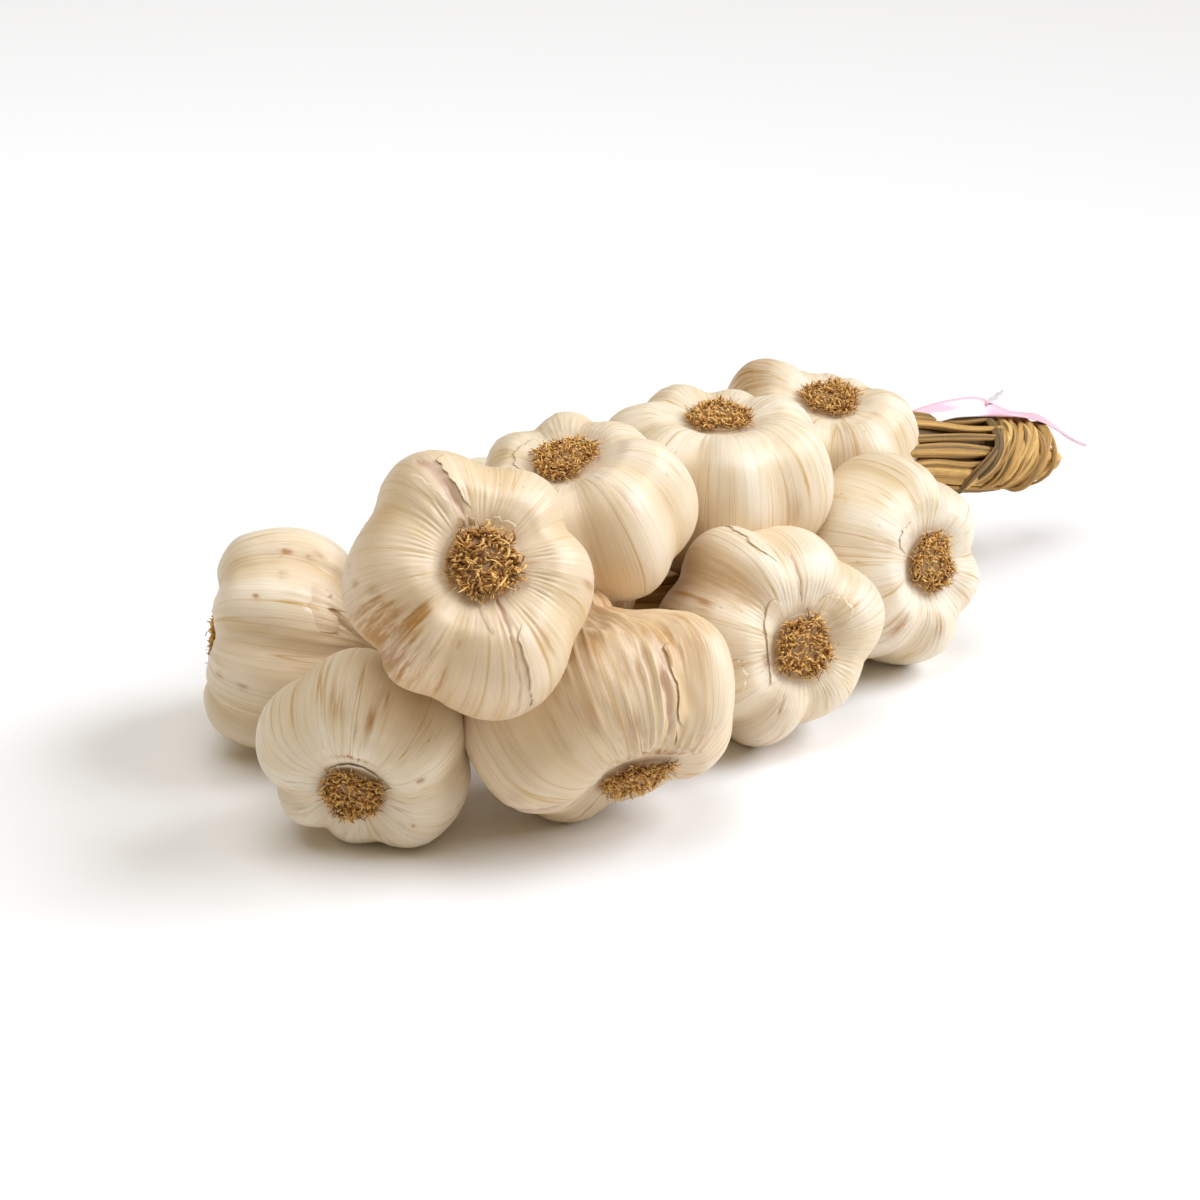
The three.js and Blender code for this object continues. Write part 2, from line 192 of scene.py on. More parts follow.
# How ridges and pleats are broken up: mean strength and swing
RIDGE_BREAKS = (0.55, 0.45)
PLEAT_BREAKS = (0.6, 0.5)
PLEAT_MOST = 1.3
# A stain's strength between its streaks, and what a streak adds
STAIN_STREAKS = (0.65, 0.5)
# Rise of the pleats at the root, middle and half width, and rises between which neck and body set in
ROOT_PLEATS_AT = (0.36, 0.08)
NECK_SETS_IN = (0.74, 1.0)
BODY_SETS_IN = (0.26, 0.34)

# Each bulb: node, centre, diameter, root direction (heading, elevation), and its cloves as pairs of the
# clock angle where a clove starts and how proud it stands. A bulb with no height lies on the table. The
# shoulder is the share that a flattened bulb keeps of its height on the neck's side.
BULBS = [
    dict(node="bulb_front", x=-86, y=3.5, z=None, size=55, heading=-148, elevation=-14,
         cloves=[(36, 0), (88, 0.03), (165, -0.15), (212, -0.1), (262, 0), (316, 0.02)]),
    dict(node="bulb_left_front", x=-60, y=55.5, z=None, size=59, heading=130, elevation=8,
         cloves=[(20, 0.04), (70, 0), (120, 0.01), (165, -0.03), (215, -0.02), (280, -0.03), (335, 0.06)]),
    dict(node="bulb_right_front", x=-40.5, y=-37, z=None, size=68, heading=-116, elevation=-42,
         columns=TORN_COLUMNS, shoulder=0.76,
         cloves=[(15, 0.02), (62, -0.08), (125, -0.16), (185, 0.04), (235, 0.16), (310, -0.1)]),
    dict(node="bulb_top_front", x=-75.5, y=-22.5, z=71.5, size=64, heading=-125, elevation=37,
         columns=TORN_COLUMNS,
         cloves=[(14, -0.04), (69, -0.07), (125, 0.06), (205, -0.05), (240, -0.06), (312, 0.04)]),
    dict(node="bulb_right_middle", x=24, y=-37.5, z=None, size=61, heading=-112, elevation=16,
         columns=TORN_COLUMNS,
         cloves=[(0, 0), (45, 0.03), (112, -0.16), (178, -0.08), (225, -0.02), (270, 0.06), (315, 0.12)]),
    dict(node="bulb_left_middle", x=6, y=48, z=None, size=60, heading=89, elevation=8,
         columns=HIDDEN_COLUMNS,
         cloves=[(30, 0), (85, -0.02), (140, 0), (190, -0.03), (250, 0.02), (310, 0)]),
    dict(node="bulb_top_second", x=-11, y=-3.5, z=63.5, size=60, heading=175, elevation=70,
         cloves=[(30, 0), (75, 0.05), (130, 0.04), (185, 0.02), (240, 0.03), (290, -0.04), (335, -0.13)]),
    dict(node="bulb_right_back", x=81, y=-33, z=None, size=60, heading=-96, elevation=15,
         cloves=[(40, -0.06), (95, -0.05), (150, 0), (205, 0), (255, 0.03), (345, -0.01)]),
    dict(node="bulb_left_back", x=72, y=41, z=None, size=58, heading=97, elevation=6,
         columns=HIDDEN_COLUMNS,
         cloves=[(15, 0), (65, 0.02), (120, -0.03), (175, 0), (230, 0.02), (295, 0)]),
    dict(node="bulb_top_third", x=46, y=-3, z=55, size=63, heading=-140, elevation=86,
         cloves=[(35, -0.05), (85, 0), (140, 0.02), (200, 0.03), (250, 0.08), (305, 0.02), (350, -0.08)]),
    dict(node="bulb_top_back", x=108, y=6, z=43.5, size=58, heading=-134, elevation=76,
         cloves=[(20, -0.26), (62, -0.08), (130, 0), (190, 0.02), (240, 0.03), (284, 0.16), (335, -0.24)]),
]

# What each skin shows. Places are pairs of clock angle and rise, which is 0.25 at the edge of the root
# plate, 0.67 at the widest and 1 at the neck.
# Crumpled skin: depth in millimetres, clock angle of its middle, half width in degrees
PLEATS = {"bulb_right_front": (1.1, 350, 44), "bulb_left_front": (0.3, 40, 60)}
PLAIN_PLEATS = (0.08, 0, 1000)
# How tan the skin is all over
TAN = {
    "bulb_right_front": 0.32, "bulb_top_front": 0.38, "bulb_left_front": 0.1, "bulb_top_second": 0.14,
    "bulb_top_third": 0.06, "bulb_right_middle": 0.14, "bulb_top_back": 0.12,
}
# Brown stains: clock, rise, half width in degrees, half height, strength
STAINS = {
    "bulb_top_front": [
        (236, 0.59, 20, 0.12, 0.55), (185, 0.62, 30, 0.1, 0.14), (250, 0.58, 9, 0.08, 0.9),
        (238, 0.45, 4.5, 0.07, 0.9), (232, 0.52, 5, 0.06, 0.45), (216, 0.48, 1.5, 0.05, 0.7),
        (207, 0.58, 2.0, 0.07, 0.6), (262, 0.52, 6, 0.02, 0.4), (280, 0.6, 2, 0.01, 0.8),
        (271, 0.57, 1.5, 0.012, 0.7), (204, 0.44, 1.4, 0.006, 1.0), (148, 0.45, 6, 0.05, 0.3),
        (104, 0.53, 3, 0.05, 0.4), (253, 0.5, 2, 0.015, 0.8),
    ],
    "bulb_front": [
        (15, 0.5, 3, 0.05, 0.5), (20, 0.57, 3, 0.03, 0.45), (7, 0.46, 2, 0.02, 0.4),
        (354, 0.53, 7, 0.05, 0.3), (118, 0.41, 1.6, 0.01, 1.0), (70, 0.44, 2, 0.012, 0.7),
        (3, 0.335, 22, 0.012, 0.7),
    ],
    "bulb_left_front": [
        (14, 0.63, 1.5, 0.012, 0.8), (11, 0.71, 1.2, 0.014, 0.8), (15, 0.69, 1.3, 0.01, 0.7),
        (31, 0.63, 2.5, 0.01, 0.5), (45, 0.58, 1.2, 0.006, 0.9), (93, 0.57, 1.5, 0.012, 0.8),
        (91, 0.5, 1.3, 0.012, 0.7), (40, 0.72, 6, 0.03, 0.25),
    ],
    "bulb_right_front": [
        (10, 0.33, 24, 0.03, 0.8), (345, 0.5, 5, 0.04, 0.35), (330, 0.55, 9, 0.06, 0.3),
        (20, 0.66, 10, 0.07, 0.3), (275, 0.5, 4, 0.02, 0.4), (352, 0.62, 8, 0.05, 0.3),
        (5, 0.74, 45, 0.08, 0.3),
    ],
    "bulb_right_middle": [
        (302, 0.54, 3, 0.02, 0.45), (305, 0.6, 1.2, 0.09, 0.4), (318, 0.5, 9, 0.08, 0.25),
        (275, 0.55, 9, 0.08, 0.2), (264, 0.3, 8, 0.02, 0.5), (190, 0.62, 8, 0.06, 0.3),
        (290, 0.66, 34, 0.12, 0.2),
    ],
    "bulb_right_back": [(232, 0.44, 7, 0.05, 0.55), (188, 0.4, 5, 0.06, 0.5), (300, 0.45, 6, 0.08, 0.3)],
    "bulb_top_second": [(252, 0.4, 2, 0.05, 0.45), (150, 0.6, 14, 0.08, 0.2), (100, 0.5, 2, 0.06, 0.3)],
    "bulb_top_third": [(197, 0.62, 14, 0.07, 0.2), (136, 0.64, 4, 0.04, 0.3)],
    "bulb_top_back": [(300, 0.48, 26, 0.09, 0.4), (265, 0.47, 12, 0.06, 0.25)],
}
# Splits: from, to, half width in degrees, depth in millimetres
SPLITS = {
    "bulb_top_front": [
        ((338, 0.52), (347, 0.29), 4.2, 0.4), ((170, 0.38), (171, 0.64), 0.5, 0.4),
        ((166, 0.22), (170, 0.38), 2.6, 0.5),
    ],
    "bulb_right_front": [((8, 0.44), (8, 0.7), 2.2, 1.2), ((294, 0.24), (250, 0.55), 3.2, 1.0)],
    "bulb_right_middle": [((216, 0.33), (211, 0.44), 0.8, 0.5), ((3, 0.3), (0, 0.5), 0.7, 0.5)],
    "bulb_left_front": [((46, 0.7), (52, 0.86), 1.6, 1.0)],
}
# How a split wanders: degrees, and waves from root to neck
SPLIT_WANDER = [(0.6, 31), (0.5, 83)]
SPLIT_LEAST = 0.05
# Torn skin: bulb, the line where the flap is whole, the line where it is torn, lift in millimetres, tint
FLAPS = [
    ("bulb_top_front", [(358, 0.52), (361, 0.3)],
     [(344, 0.53), (343, 0.46), (348, 0.38), (351, 0.3)], 0.6, 0.0),
    ("bulb_top_front", [(318, 0.53), (326, 0.3)], [(332, 0.53), (335, 0.43), (342, 0.31)], 0.35, 0.0),
    ("bulb_top_front", [(338, 0.22), (362, 0.22)], [(341, 0.27), (350, 0.31), (359, 0.28)], 2.4, 0.0),
    ("bulb_top_front", [(0, 0.2), (66, 0.2)], [(2, 0.29), (22, 0.3), (45, 0.31), (64, 0.28)], 0.7, 0.35),
    ("bulb_top_front", [(150, 0.34), (150, 0.66)], [(168, 0.36), (167, 0.5), (169, 0.65)], 0.6, 0.0),
    ("bulb_top_front", [(204, 0.22), (186, 0.4)], [(191, 0.2), (184, 0.29), (175, 0.39)], 0.6, 0.0),
    ("bulb_right_front", [(332, 0.52), (2, 0.52)],
     [(334, 0.42), (345, 0.36), (354, 0.39), (4, 0.42)], 1.5, 0.25),
    ("bulb_right_front", [(12, 0.5), (46, 0.48)],
     [(11, 0.41), (22, 0.35), (32, 0.38), (46, 0.36)], 1.6, 0.25),
    ("bulb_right_front", [(24, 0.46), (24, 0.7)], [(10.5, 0.44), (11, 0.58), (11, 0.71)], 0.7, 0.2),
    ("bulb_right_front", [(305, 0.3), (277, 0.54)], [(301, 0.26), (281, 0.38), (265, 0.5)], 0.5, 0.0),
    ("bulb_right_middle", [(225, 0.22), (345, 0.22)],
     [(228, 0.41), (240, 0.32), (262, 0.29), (291, 0.31), (320, 0.38), (340, 0.5)], 0.55, 0.03),
    ("bulb_right_middle", [(356, 0.7), (356, 0.42)], [(344, 0.7), (341, 0.58), (338, 0.47)], 0.4, 0.0),
    ("bulb_right_middle", [(262, 0.56), (236, 0.56)], [(281, 0.42), (264, 0.4), (246, 0.42)], 0.35, 0.06),
    ("bulb_right_middle", [(18, 0.22), (80, 0.22)], [(28, 0.35), (50, 0.42), (74, 0.38)], 0.4, 0.14),
    ("bulb_front", [(330, 0.5), (36, 0.5)], [(336, 0.38), (350, 0.34), (3, 0.345), (30, 0.37)], 0.9, 0.0),
    ("bulb_front", [(300, 0.21), (70, 0.21)], [(304, 0.27), (345, 0.29), (20, 0.3), (66, 0.27)], 0.9, 0.1),
    ("bulb_left_front", [(24, 0.64), (60, 0.68)], [(36, 0.84), (48, 0.82), (62, 0.85)], 1.8, 0.15),
    ("bulb_right_back", [(292, 0.22), (352, 0.22)], [(298, 0.34), (318, 0.4), (345, 0.35)], 0.3, 0.06),
    ("bulb_top_second", [(205, 0.22), (300, 0.22)], [(210, 0.31), (252, 0.37), (295, 0.32)], 0.3, 0.06),
]
FLAP_GRID = (48, 14)
FLAP_THICKNESS = 0.15
FLAP_SEED = 900
# A flap is narrow at its ends, starts inside the skin, comes out of it and lifts. Its torn edge is rough,
# and rougher where it lifts more than the loose lift.
FLAP_ENDS = 0.2
FLAP_NARROWEST = 0.1
FLAP_END_CURVE = 0.6
FLAP_SINK = 0.4
FLAP_RISE = 0.55
FLAP_OUT_BY = 0.6
FLAP_LEAST_CURL = 0.45
FLAP_LOOSE_LIFT = 1.4
FLAP_ROUGHNESS = 0.22
FLAP_LOOSE_ROUGHNESS = 0.5
FLAP_COARSENESS = 0.75
# Lowest place of a flap over the table, and the lowest rise in its colour
FLAP_FLOOR = 0.3
FLAP_LOWEST_RISE = 0.3

# Root fibres: count, steps, length in millimetres, lean, curl, from and to in shares of the bulb's radius,
# radius in millimetres, flatness
ROOT_NUBS = (400, 4, (0.8, 2.8), 0.45, 0.4, (0.0, 0.23), (0.22, 0.48), 0.8)
ROOT_FUZZ = (240, 4, (1.0, 2.8), 0.75, 0.3, (0.2, 0.27), (0.1, 0.2), 1.0)
ROOT_CURLS = (70, 9, (2.5, 5.5), 0.66, 0.4, (0.03, 0.22), (0.18, 0.4), 0.5)
MORE_CURLS = {"bulb_top_front": (90, 10, (3.0, 7.0), 0.64, 0.28, (0.04, 0.22), (0.3, 0.7), 0.3)}
# How far the fibres may stand out, in millimetres
ROOT_STAND = {"bulb_top_front": 4.2, "bulb_top_third": 1.6, "bulb_top_back": 1.8}
PLAIN_STAND = 2.8
ROOT_SEED = 300
FIBRE_SIDES = 4
FIBRE_TAPER = 0.65
FIBRE_SHADES = (0.0, 0.85)
FIBRE_FADE = 0.35
FIBRE_FLOOR = 0.05
FIBRE_OUTWARD = (-0.3, 1.0)
PLATE_ROUGHNESS = 0.3
# The root plate and the range of the fibres, in shares of the bulb's radius below its centre
PLATE_LEVEL = 0.63
FIBRE_INNER = 0.6
FIBRE_OUTER = 0.67
# The root tuft's uneven rim: swing, waves round it, shift with the bulb's radius
RIM_WAVES = [(0.1, 3, 1), (0.07, 5, 3)]

# Plait and ribbon, in millimetres, with places along the plait in shares of its length
PLAIT_LINE = [
    (-60, 3, 35), (-20, 1, 31), (30, -1, 25), (75, -1, 16), (104, -1, 13),
    (122, -6, 22), (140, -11, 36), (155, -14, 33.5), (168, -17, 30.5), (179, -19, 27.5),
]
PLAIT_STEPS = 801
CURVE_STEPS = 1200
# Tubes steeper than this take their upper side from another direction
STEEP = 0.8
# Dry stems: ridges round them, how far ridges and swellings stand out, and the painted shade that ridges
# add: lighter on the ridges, darker in the grooves
STEM_RIDGES = (5, 3)
STEM_RIDGE_TWIST = 3
STEM_RIDGE_HEIGHT = 0.07
STEM_SWELLING = 0.06
STEM_SWELLINGS = 9
STEM_GROOVE_PAINTED_SHADE = 0.12
STEM_TONES = (0.3, 0.8)
STEM_GRAIN_LENGTH = 10
STEM_GRAIN_STEP = 4
STEM_FLATNESS = 0.7
# The plaited tail: three strands of stems
TAIL_SEED = 51
TAIL_START = 0.62
TAIL_END = 0.985
TAIL_TAPER = 0.3
TAIL_PINCH = 0.3
TAIL_PINCH_AT = (0.8, 0.88)
STRANDS = 3
STRAND_STEPS = 60
STRAND_SIDES = 10
STRAND_SWAY = 5.2
STRAND_LIFT = 4.2
STRAND_TURNS = 1.6
STRAND_STEMS = 8
STRAND_WIDTH = 4.2
STRAND_HEIGHT = 3.2
STRAND_SPREAD = (0.75, 1.1)
STRAND_TWIST = 0.5
STRAND_TWIST_SHIFT = 0.2
STRAND_RADII = (1.4, 2.4)
# The strands are almost black: painted shade in the gaps between and under the wound stems
STRAND_SHADE_TONES = (0.0, 0.12)
# The core between the bulbs
CORE_SEED = 52
CORE_STEPS = 90
CORE_SIDES = 10
CORE_STEMS = 7
CORE_END = 0.7
CORE_TURNS = 1.5
CORE_SPREAD = 4.8
CORE_RADIUS = 2.9
# Flat stems wound round the tail: pairs are the first and the last stem's, or the range of a random draw
WRAP_SEED = 53
WRAP_STEPS = 64
WRAP_SIDES = 12
WRAP_COUNT = 30
WRAP_FROM = 0.872
WRAP_TO = 0.98
WRAP_SLANT = (0.044, 0.016)
WRAP_RADIUS = (11.4, 9.6)
WRAP_WIDTH = (0.7, 1.6)
WRAP_WIDTH_SWING = 0.25
WRAP_FLATNESS = 0.55
WRAP_BEGIN = (0.3, 0.8)
WRAP_TURNS = (0.9, 1.15)
WRAP_SHIFT = 0.005
WRAP_SLANT_SPREAD = (0.7, 1.15)
WRAP_SWAY = 0.005
WRAP_LIFT = (-0.7, 0.9)
WRAP_SWING = 0.5
WRAP_FLAT_TOP = 1.3
WRAP_TUCK = 2.5
WRAP_DARKENING = 1.2
PHASES = (0, 6)
# Straight stems beside the tail: first and last place along it from the anchor, aside and up, radius,
# flatness. The thick one is a black filler inside the bundle: painted shade.
SIDE_SEED = 55
SIDE_STEPS = 40
SIDE_SIDES = 16
SIDE_BOW = 0.7
SIDE_BOW_WAVES = (0.8, 2.2)
SIDE_NARROWEST = 0.55
SIDE_SWELL = (0.2, 0.95)
SIDE_TONES = (0.08, 0.5)
# Stems this thick or thicker are black, as painted shade inside the bundle
SHADE_FILL_THICK = 5.0
SIDE_AHEAD = 0.02
SIDE_ANCHOR = 0.9
SIDE_STEMS = [
    ((-44, 3), (-4.6, -5.5), (10.6, 9.2), 1.3, 0.9), ((-44, 4), (-11.2, -9.0), (4.6, 2.6), 2.1, 0.7),
    ((-44, 10), (-11.0, -8.6), (-2.6, -5.0), 3.2, 0.35), ((-44, 4), (-7.6, -6.4), (-8.6, -8.4), 2.4, 0.5),
    ((-44, 2), (-8.8, -8.2), (7.4, 6.6), 1.2, 0.9), ((-40, 2), (-11.6, -9.6), (0.4, 0.4), 1.2, 0.9),
    ((-44, 4), (0.6, 1.0), (11.0, 9.8), 2.0, 0.8), ((-44, 4), (8.4, 7.0), (7.0, 6.0), 2.2, 0.8),
    ((-44, 4), (11.0, 9.0), (-1.0, -2.0), 2.8, 0.6), ((-44, 4), (5.0, 4.6), (-9.4, -8.4), 2.2, 0.8),
    # the black filler in the bundle's middle: painted shade
    ((-44, 2), (-0.5, 0.0), (0.6, 0.2), 9.6, 1.0),
]
# The cut stem ends: every third stands nearer the middle
END_SEED = 54
END_STEPS = 18
END_SIDES = 16
END_COUNT = 9
END_FROM = 0.92
END_TURN = 0.4
END_INNER = 2.0
END_OUTER = 5.4
END_LENGTHS = (0.5, 4.0)
END_RADII = (3.2, 4.3)
END_ROUNDING = [0.98, 0.92, 0.8, 0.55]
END_FLATNESS = 0.9
# Ribbon: its line is along and up from where it starts, before and then on the tail
RIBBON_FROM = np.array([126.0, -6.0, 0.0])
RIBBON_HEADING = -10.0
RIBBON_LINE = [
    (3, 48.6), (12, 49.2), (20, 49.0), (30, 47.4), (38, 45.2), (46, 42.2),
    (54, 39.2), (60, 35.6), (66, 31.0), (71, 27.6), (76, 25.2),
]
RIBBON_WIDTH = 5.0
RIBBON_THICKNESS = 0.35
RIBBON_TIP = 12.0
RIBBON_TIP_SHARE = 0.08
RIBBON_TILT = 0.25
RIBBON_STEPS = 90
RIBBON_COLUMNS = 9
RIBBON_WAVE = 0.4
RIBBON_WAVES = 17
RIBBON_WAVE_SLANT = 3
ON_TAIL_AT = (32, 44)
BEFORE_TAIL_WIDER = 1.5
BEFORE_TAIL_TILT = 0.55
RIBBON_ASIDE = 1.0
ON_TAIL_ASIDE = 4.0
# White part: shares along and across where it ends, and the swing of its edge
WHITE_ALONG = (0.42, 0.3)
WHITE_ACROSS = (0.05, -0.1)
WHITE_SWING = 0.04
WHITE_WAVES = 40
# Knot, and the loose end beyond it
KNOT_STEPS = 40
KNOT_ALONG = 36.0
KNOT_HEIGHT = 46.4
KNOT_RADIUS = 1.4
KNOT_LONG = 0.7
KNOT_TALL = 0.6
KNOT_WIDTH = 3.4
KNOT_WAVE = 0.2
KNOT_WHITE = 0.3
LOOSE_STEPS = 24
LOOSE_WIDTH = 2.4
LOOSE_TAPER = 0.5
LOOSE_LENGTH = 8.0
LOOSE_LEAN = 0.33
LOOSE_SWING = 0.4
LOOSE_WAVE = 0.6
LOOSE_WHITE = 0.85


# Curves and meshes
def smooth_rows(rows, count):
    """Evenly stepped samples of the smooth curve through the rows."""
    rows = np.asarray(rows, float)
    last = len(rows) - 1
    steps = np.linspace(0, last, count)
    index = np.minimum(steps.astype(int), last - 1)
    f = (steps - index)[:, None]
    before = rows[np.maximum(index - 1, 0)]
    start = rows[index]
    end = rows[index + 1]
    after = rows[np.minimum(index + 2, last)]
    bend = 2 * before - 5 * start + 4 * end - after
    twist = 3 * start - before - 3 * end + after
    return 0.5 * (2 * start + (end - before) * f + bend * f**2 + twist * f**3)


def even_line(rows, count):
    """The smooth curve through the rows, sampled at even lengths."""
    fine = smooth_rows(rows, CURVE_STEPS)
    length = np.concatenate([[0], np.cumsum(np.linalg.norm(np.diff(fine, axis=0), axis=1))])
    at = np.linspace(0, length[-1], count)
    return np.stack([np.interp(at, length, fine[:, k]) for k in range(fine.shape[1])], 1)


def smoothstep(low, high, value):
    share = np.clip((value - low) / (high - low), 0, 1)
    return share * share * (3 - 2 * share)


def unit(vectors):
    return vectors / np.maximum(np.linalg.norm(vectors, axis=-1, keepdims=True), 1e-12)


def grid_faces(rows, columns):
    """Quads of a grid whose columns run round."""
    row, column = np.meshgrid(np.arange(rows - 1), np.arange(columns), indexing="ij")
    after = (column + 1) % columns
    first = row * columns
    second = first + columns
    quads = [first + column, first + after, second + after, second + column]
    return np.stack(quads, -1).reshape(-1, 4)


def fan_faces(ring, centre):
    after = np.roll(ring, -1)
    return np.stack([ring, after, np.full(len(ring), centre)], 1)


def mesh_piece(name, points, quads, triangles, material, attributes=None):
    """A mesh object from points in layout millimetres, riding on the braid's body."""
    points = (np.asarray(points) - LAYOUT_MIDDLE) * MM
    mesh = bpy.data.meshes.new(name)
    mesh.vertices.add(len(points))
    mesh.vertices.foreach_set("co", points.astype(np.float32).ravel())
    loops = np.concatenate([quads.ravel(), triangles.ravel()]).astype(np.int32)
    sizes = np.concatenate([np.full(len(quads), 4), np.full(len(triangles), 3)]).astype(np.int32)
    mesh.loops.add(len(loops))
    mesh.loops.foreach_set("vertex_index", loops)
    mesh.polygons.add(len(sizes))
    starts = np.concatenate([[0], np.cumsum(sizes)[:-1]]).astype(np.int32)
    mesh.polygons.foreach_set("loop_start", starts)
    mesh.polygons.foreach_set("use_smooth", np.ones(len(sizes), bool))
    mesh.update(calc_edges=True)
    mesh.validate()
    for key, values in (attributes or {}).items():
        values = np.asarray(values, np.float32)
        kind = "FLOAT_VECTOR" if values.ndim == 2 else "FLOAT"
        layer = mesh.attributes.new(key, kind, "POINT")
        layer.data.foreach_set("vector" if values.ndim == 2 else "value", values.ravel())
    mesh.materials.append(material)
    piece = bpy.data.objects.new(name, mesh)
    bpy.context.scene.collection.objects.link(piece)
    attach(piece, "root")
    return piece


# Plait line
plait_points = even_line(PLAIT_LINE, PLAIT_STEPS)
plait_tangents = unit(np.gradient(plait_points, axis=0))


def beside_plait(share, aside, up):
    """Places beside the plait's middle line, for arrays of shares of its length."""
    at = np.clip(share, 0, 1) * (len(plait_points) - 1)
    steps = np.arange(len(plait_points))
    place = np.stack([np.interp(at, steps, plait_points[:, k]) for k in range(3)], 1)
    tangent = unit(np.stack([np.interp(at, steps, plait_tangents[:, k]) for k in range(3)], 1))
    left = unit(np.stack([-tangent[:, 1], tangent[:, 0], 0 * at], 1))
    above = np.cross(tangent, left)
    return place + left * np.asarray(aside)[:, None] + above * np.asarray(up)[:, None]


# Bulbs
def bulb_axes(bulb):
    """Columns: clock angle 90, neck, clock angle 0."""
    heading, elevation = np.radians([bulb["heading"], bulb["elevation"]])
    level = np.cos(elevation)
    root = np.array([level * np.cos(heading), level * np.sin(heading), np.sin(elevation)])
    across = np.array([-np.sin(heading), np.cos(heading), 0])
    return np.stack([across, -root, np.cross(root, across)], 1)


def clove_level(cloves, angle):
    """Swell, 0 in a valley and 1 on a crest, and how proud the skin stands, for clock angles in degrees."""
    starts = np.array([clove[0] for clove in cloves], float)
    crests = np.array([clove[1] for clove in cloves], float)
    index = (np.searchsorted(starts, angle % 360, side="right") - 1) % len(starts)
    following = (index + 1) % len(starts)
    share = ((angle - starts[index]) % 360) / ((starts[following] - starts[index]) % 360)
    rise = np.hypot(np.sin(np.pi * share), VALLEY_ROUNDING) - VALLEY_ROUNDING
    swell = rise / (np.hypot(1, VALLEY_ROUNDING) - VALLEY_ROUNDING)
    crest = crests[index]
    first_valley = (crests[index - 1] + crest) / 2
    last_valley = (crest + crests[following]) / 2
    floor = first_valley + (last_valley - first_valley) * share - VALLEY_DEPTH
    return swell, floor + (crest - floor) * swell


def ripple(rng, angle, rise, waves):
    """Waves round the bulb, about -1 to 1, whose crests run from root to neck."""
    drift, fewest, most, added = waves
    total = np.zeros_like(angle)
    for _ in range(added):
        count = rng.integers(fewest, most + 1)
        total += np.cos(count * angle + rng.uniform(0, 2 * np.pi) + rng.normal() * (drift * rise))
    return total / np.sqrt(added)


def bulb_grid(bulb, rng):
    """Points in the bulb's frame, with the clock angle and rise of each and how deep in a valley it lies."""
    radius = bulb["size"] / 2
    columns = bulb.get("columns", COLUMNS)
    body = smooth_rows(BULB_PROFILE, BODY_ROWS)
    turn = np.linspace(0, 2 * np.pi, columns, endpoint=False)
    rise, angle = np.meshgrid(np.linspace(0, 1, BODY_ROWS), turn, indexing="ij")
    wander = VALLEY_WANDER * ripple(rng, angle, rise, WANDER_WAVES)
    swell, proud = clove_level(bulb["cloves"], np.degrees(angle) + wander)
    lobing = np.broadcast_to(body[:, 2][:, None], angle.shape)
    scale = 1 + lobing * proud
    out = body[:, 1][:, None] * radius * scale
    tall = np.where(body[:, 0] > 0, body[:, 0] * bulb.get("shoulder", 1.0), body[:, 0])
    along = tall[:, None] * radius * scale
    points = np.stack([out * np.sin(angle), along, out * np.cos(angle)], -1)
    return points, angle, rise, (1 - swell) * lobing


def grid_normals(points):
    down = np.gradient(points, axis=0)
    around = np.roll(points, -1, axis=1) - np.roll(points, 1, axis=1)
    return unit(np.cross(around, down))


def thin_ridges(wave, width):
    """Narrow raised lines where a wave crosses zero."""
    return np.exp(-((wave / width) ** 2))


def around_clock(angle, middle):
    """Degrees from a clock angle, between -180 and 180."""
    return (np.degrees(angle) - middle + 180) % 360 - 180


def split_depth(node, angle, rise):
    """Depth of the skin's splits in millimetres, and 1 along them fading to 0."""
    depth = np.zeros_like(angle)
    mask = np.zeros_like(angle)
    for start, end, width, deep in SPLITS.get(node, []):
        share = (rise - start[1]) / (end[1] - start[1])
        turn = (end[0] - start[0] + 180) % 360 - 180
        middle = start[0] + np.clip(share, 0, 1) * turn
        for degrees, waves in SPLIT_WANDER:
            middle = middle + degrees * np.sin(waves * rise)
        open_share = np.sqrt(np.clip(4 * share * (1 - share), 0, 1))
        away = around_clock(angle, middle) / (width * open_share + SPLIT_LEAST)
        line = np.exp(-(away**2)) * (open_share > 0)
        mask = np.maximum(mask, line)
        depth = np.maximum(depth, deep * line)
    return depth, mask


def stain_spots(node, rng, angle, rise):
    """How stained the skin is, from the bulb's own stains."""
    total = np.zeros_like(angle)
    streaks = 0.5 + 0.5 * ripple(rng, angle, rise, STAIN_STREAK_WAVES)
    for middle, height, width, tall, strength in STAINS.get(node, []):
        away = around_clock(angle, middle) / width
        total = total + strength * np.exp(-(away**2) - ((rise - height) / tall) ** 2)
    return np.clip(total * (STAIN_STREAKS[0] + STAIN_STREAKS[1] * streaks), 0, 1)


def broken_up(rng, angle, rise, breaks, waves, most):
    mean, swing = breaks
    return np.clip(mean + swing * ripple(rng, angle, rise, waves), 0, most)


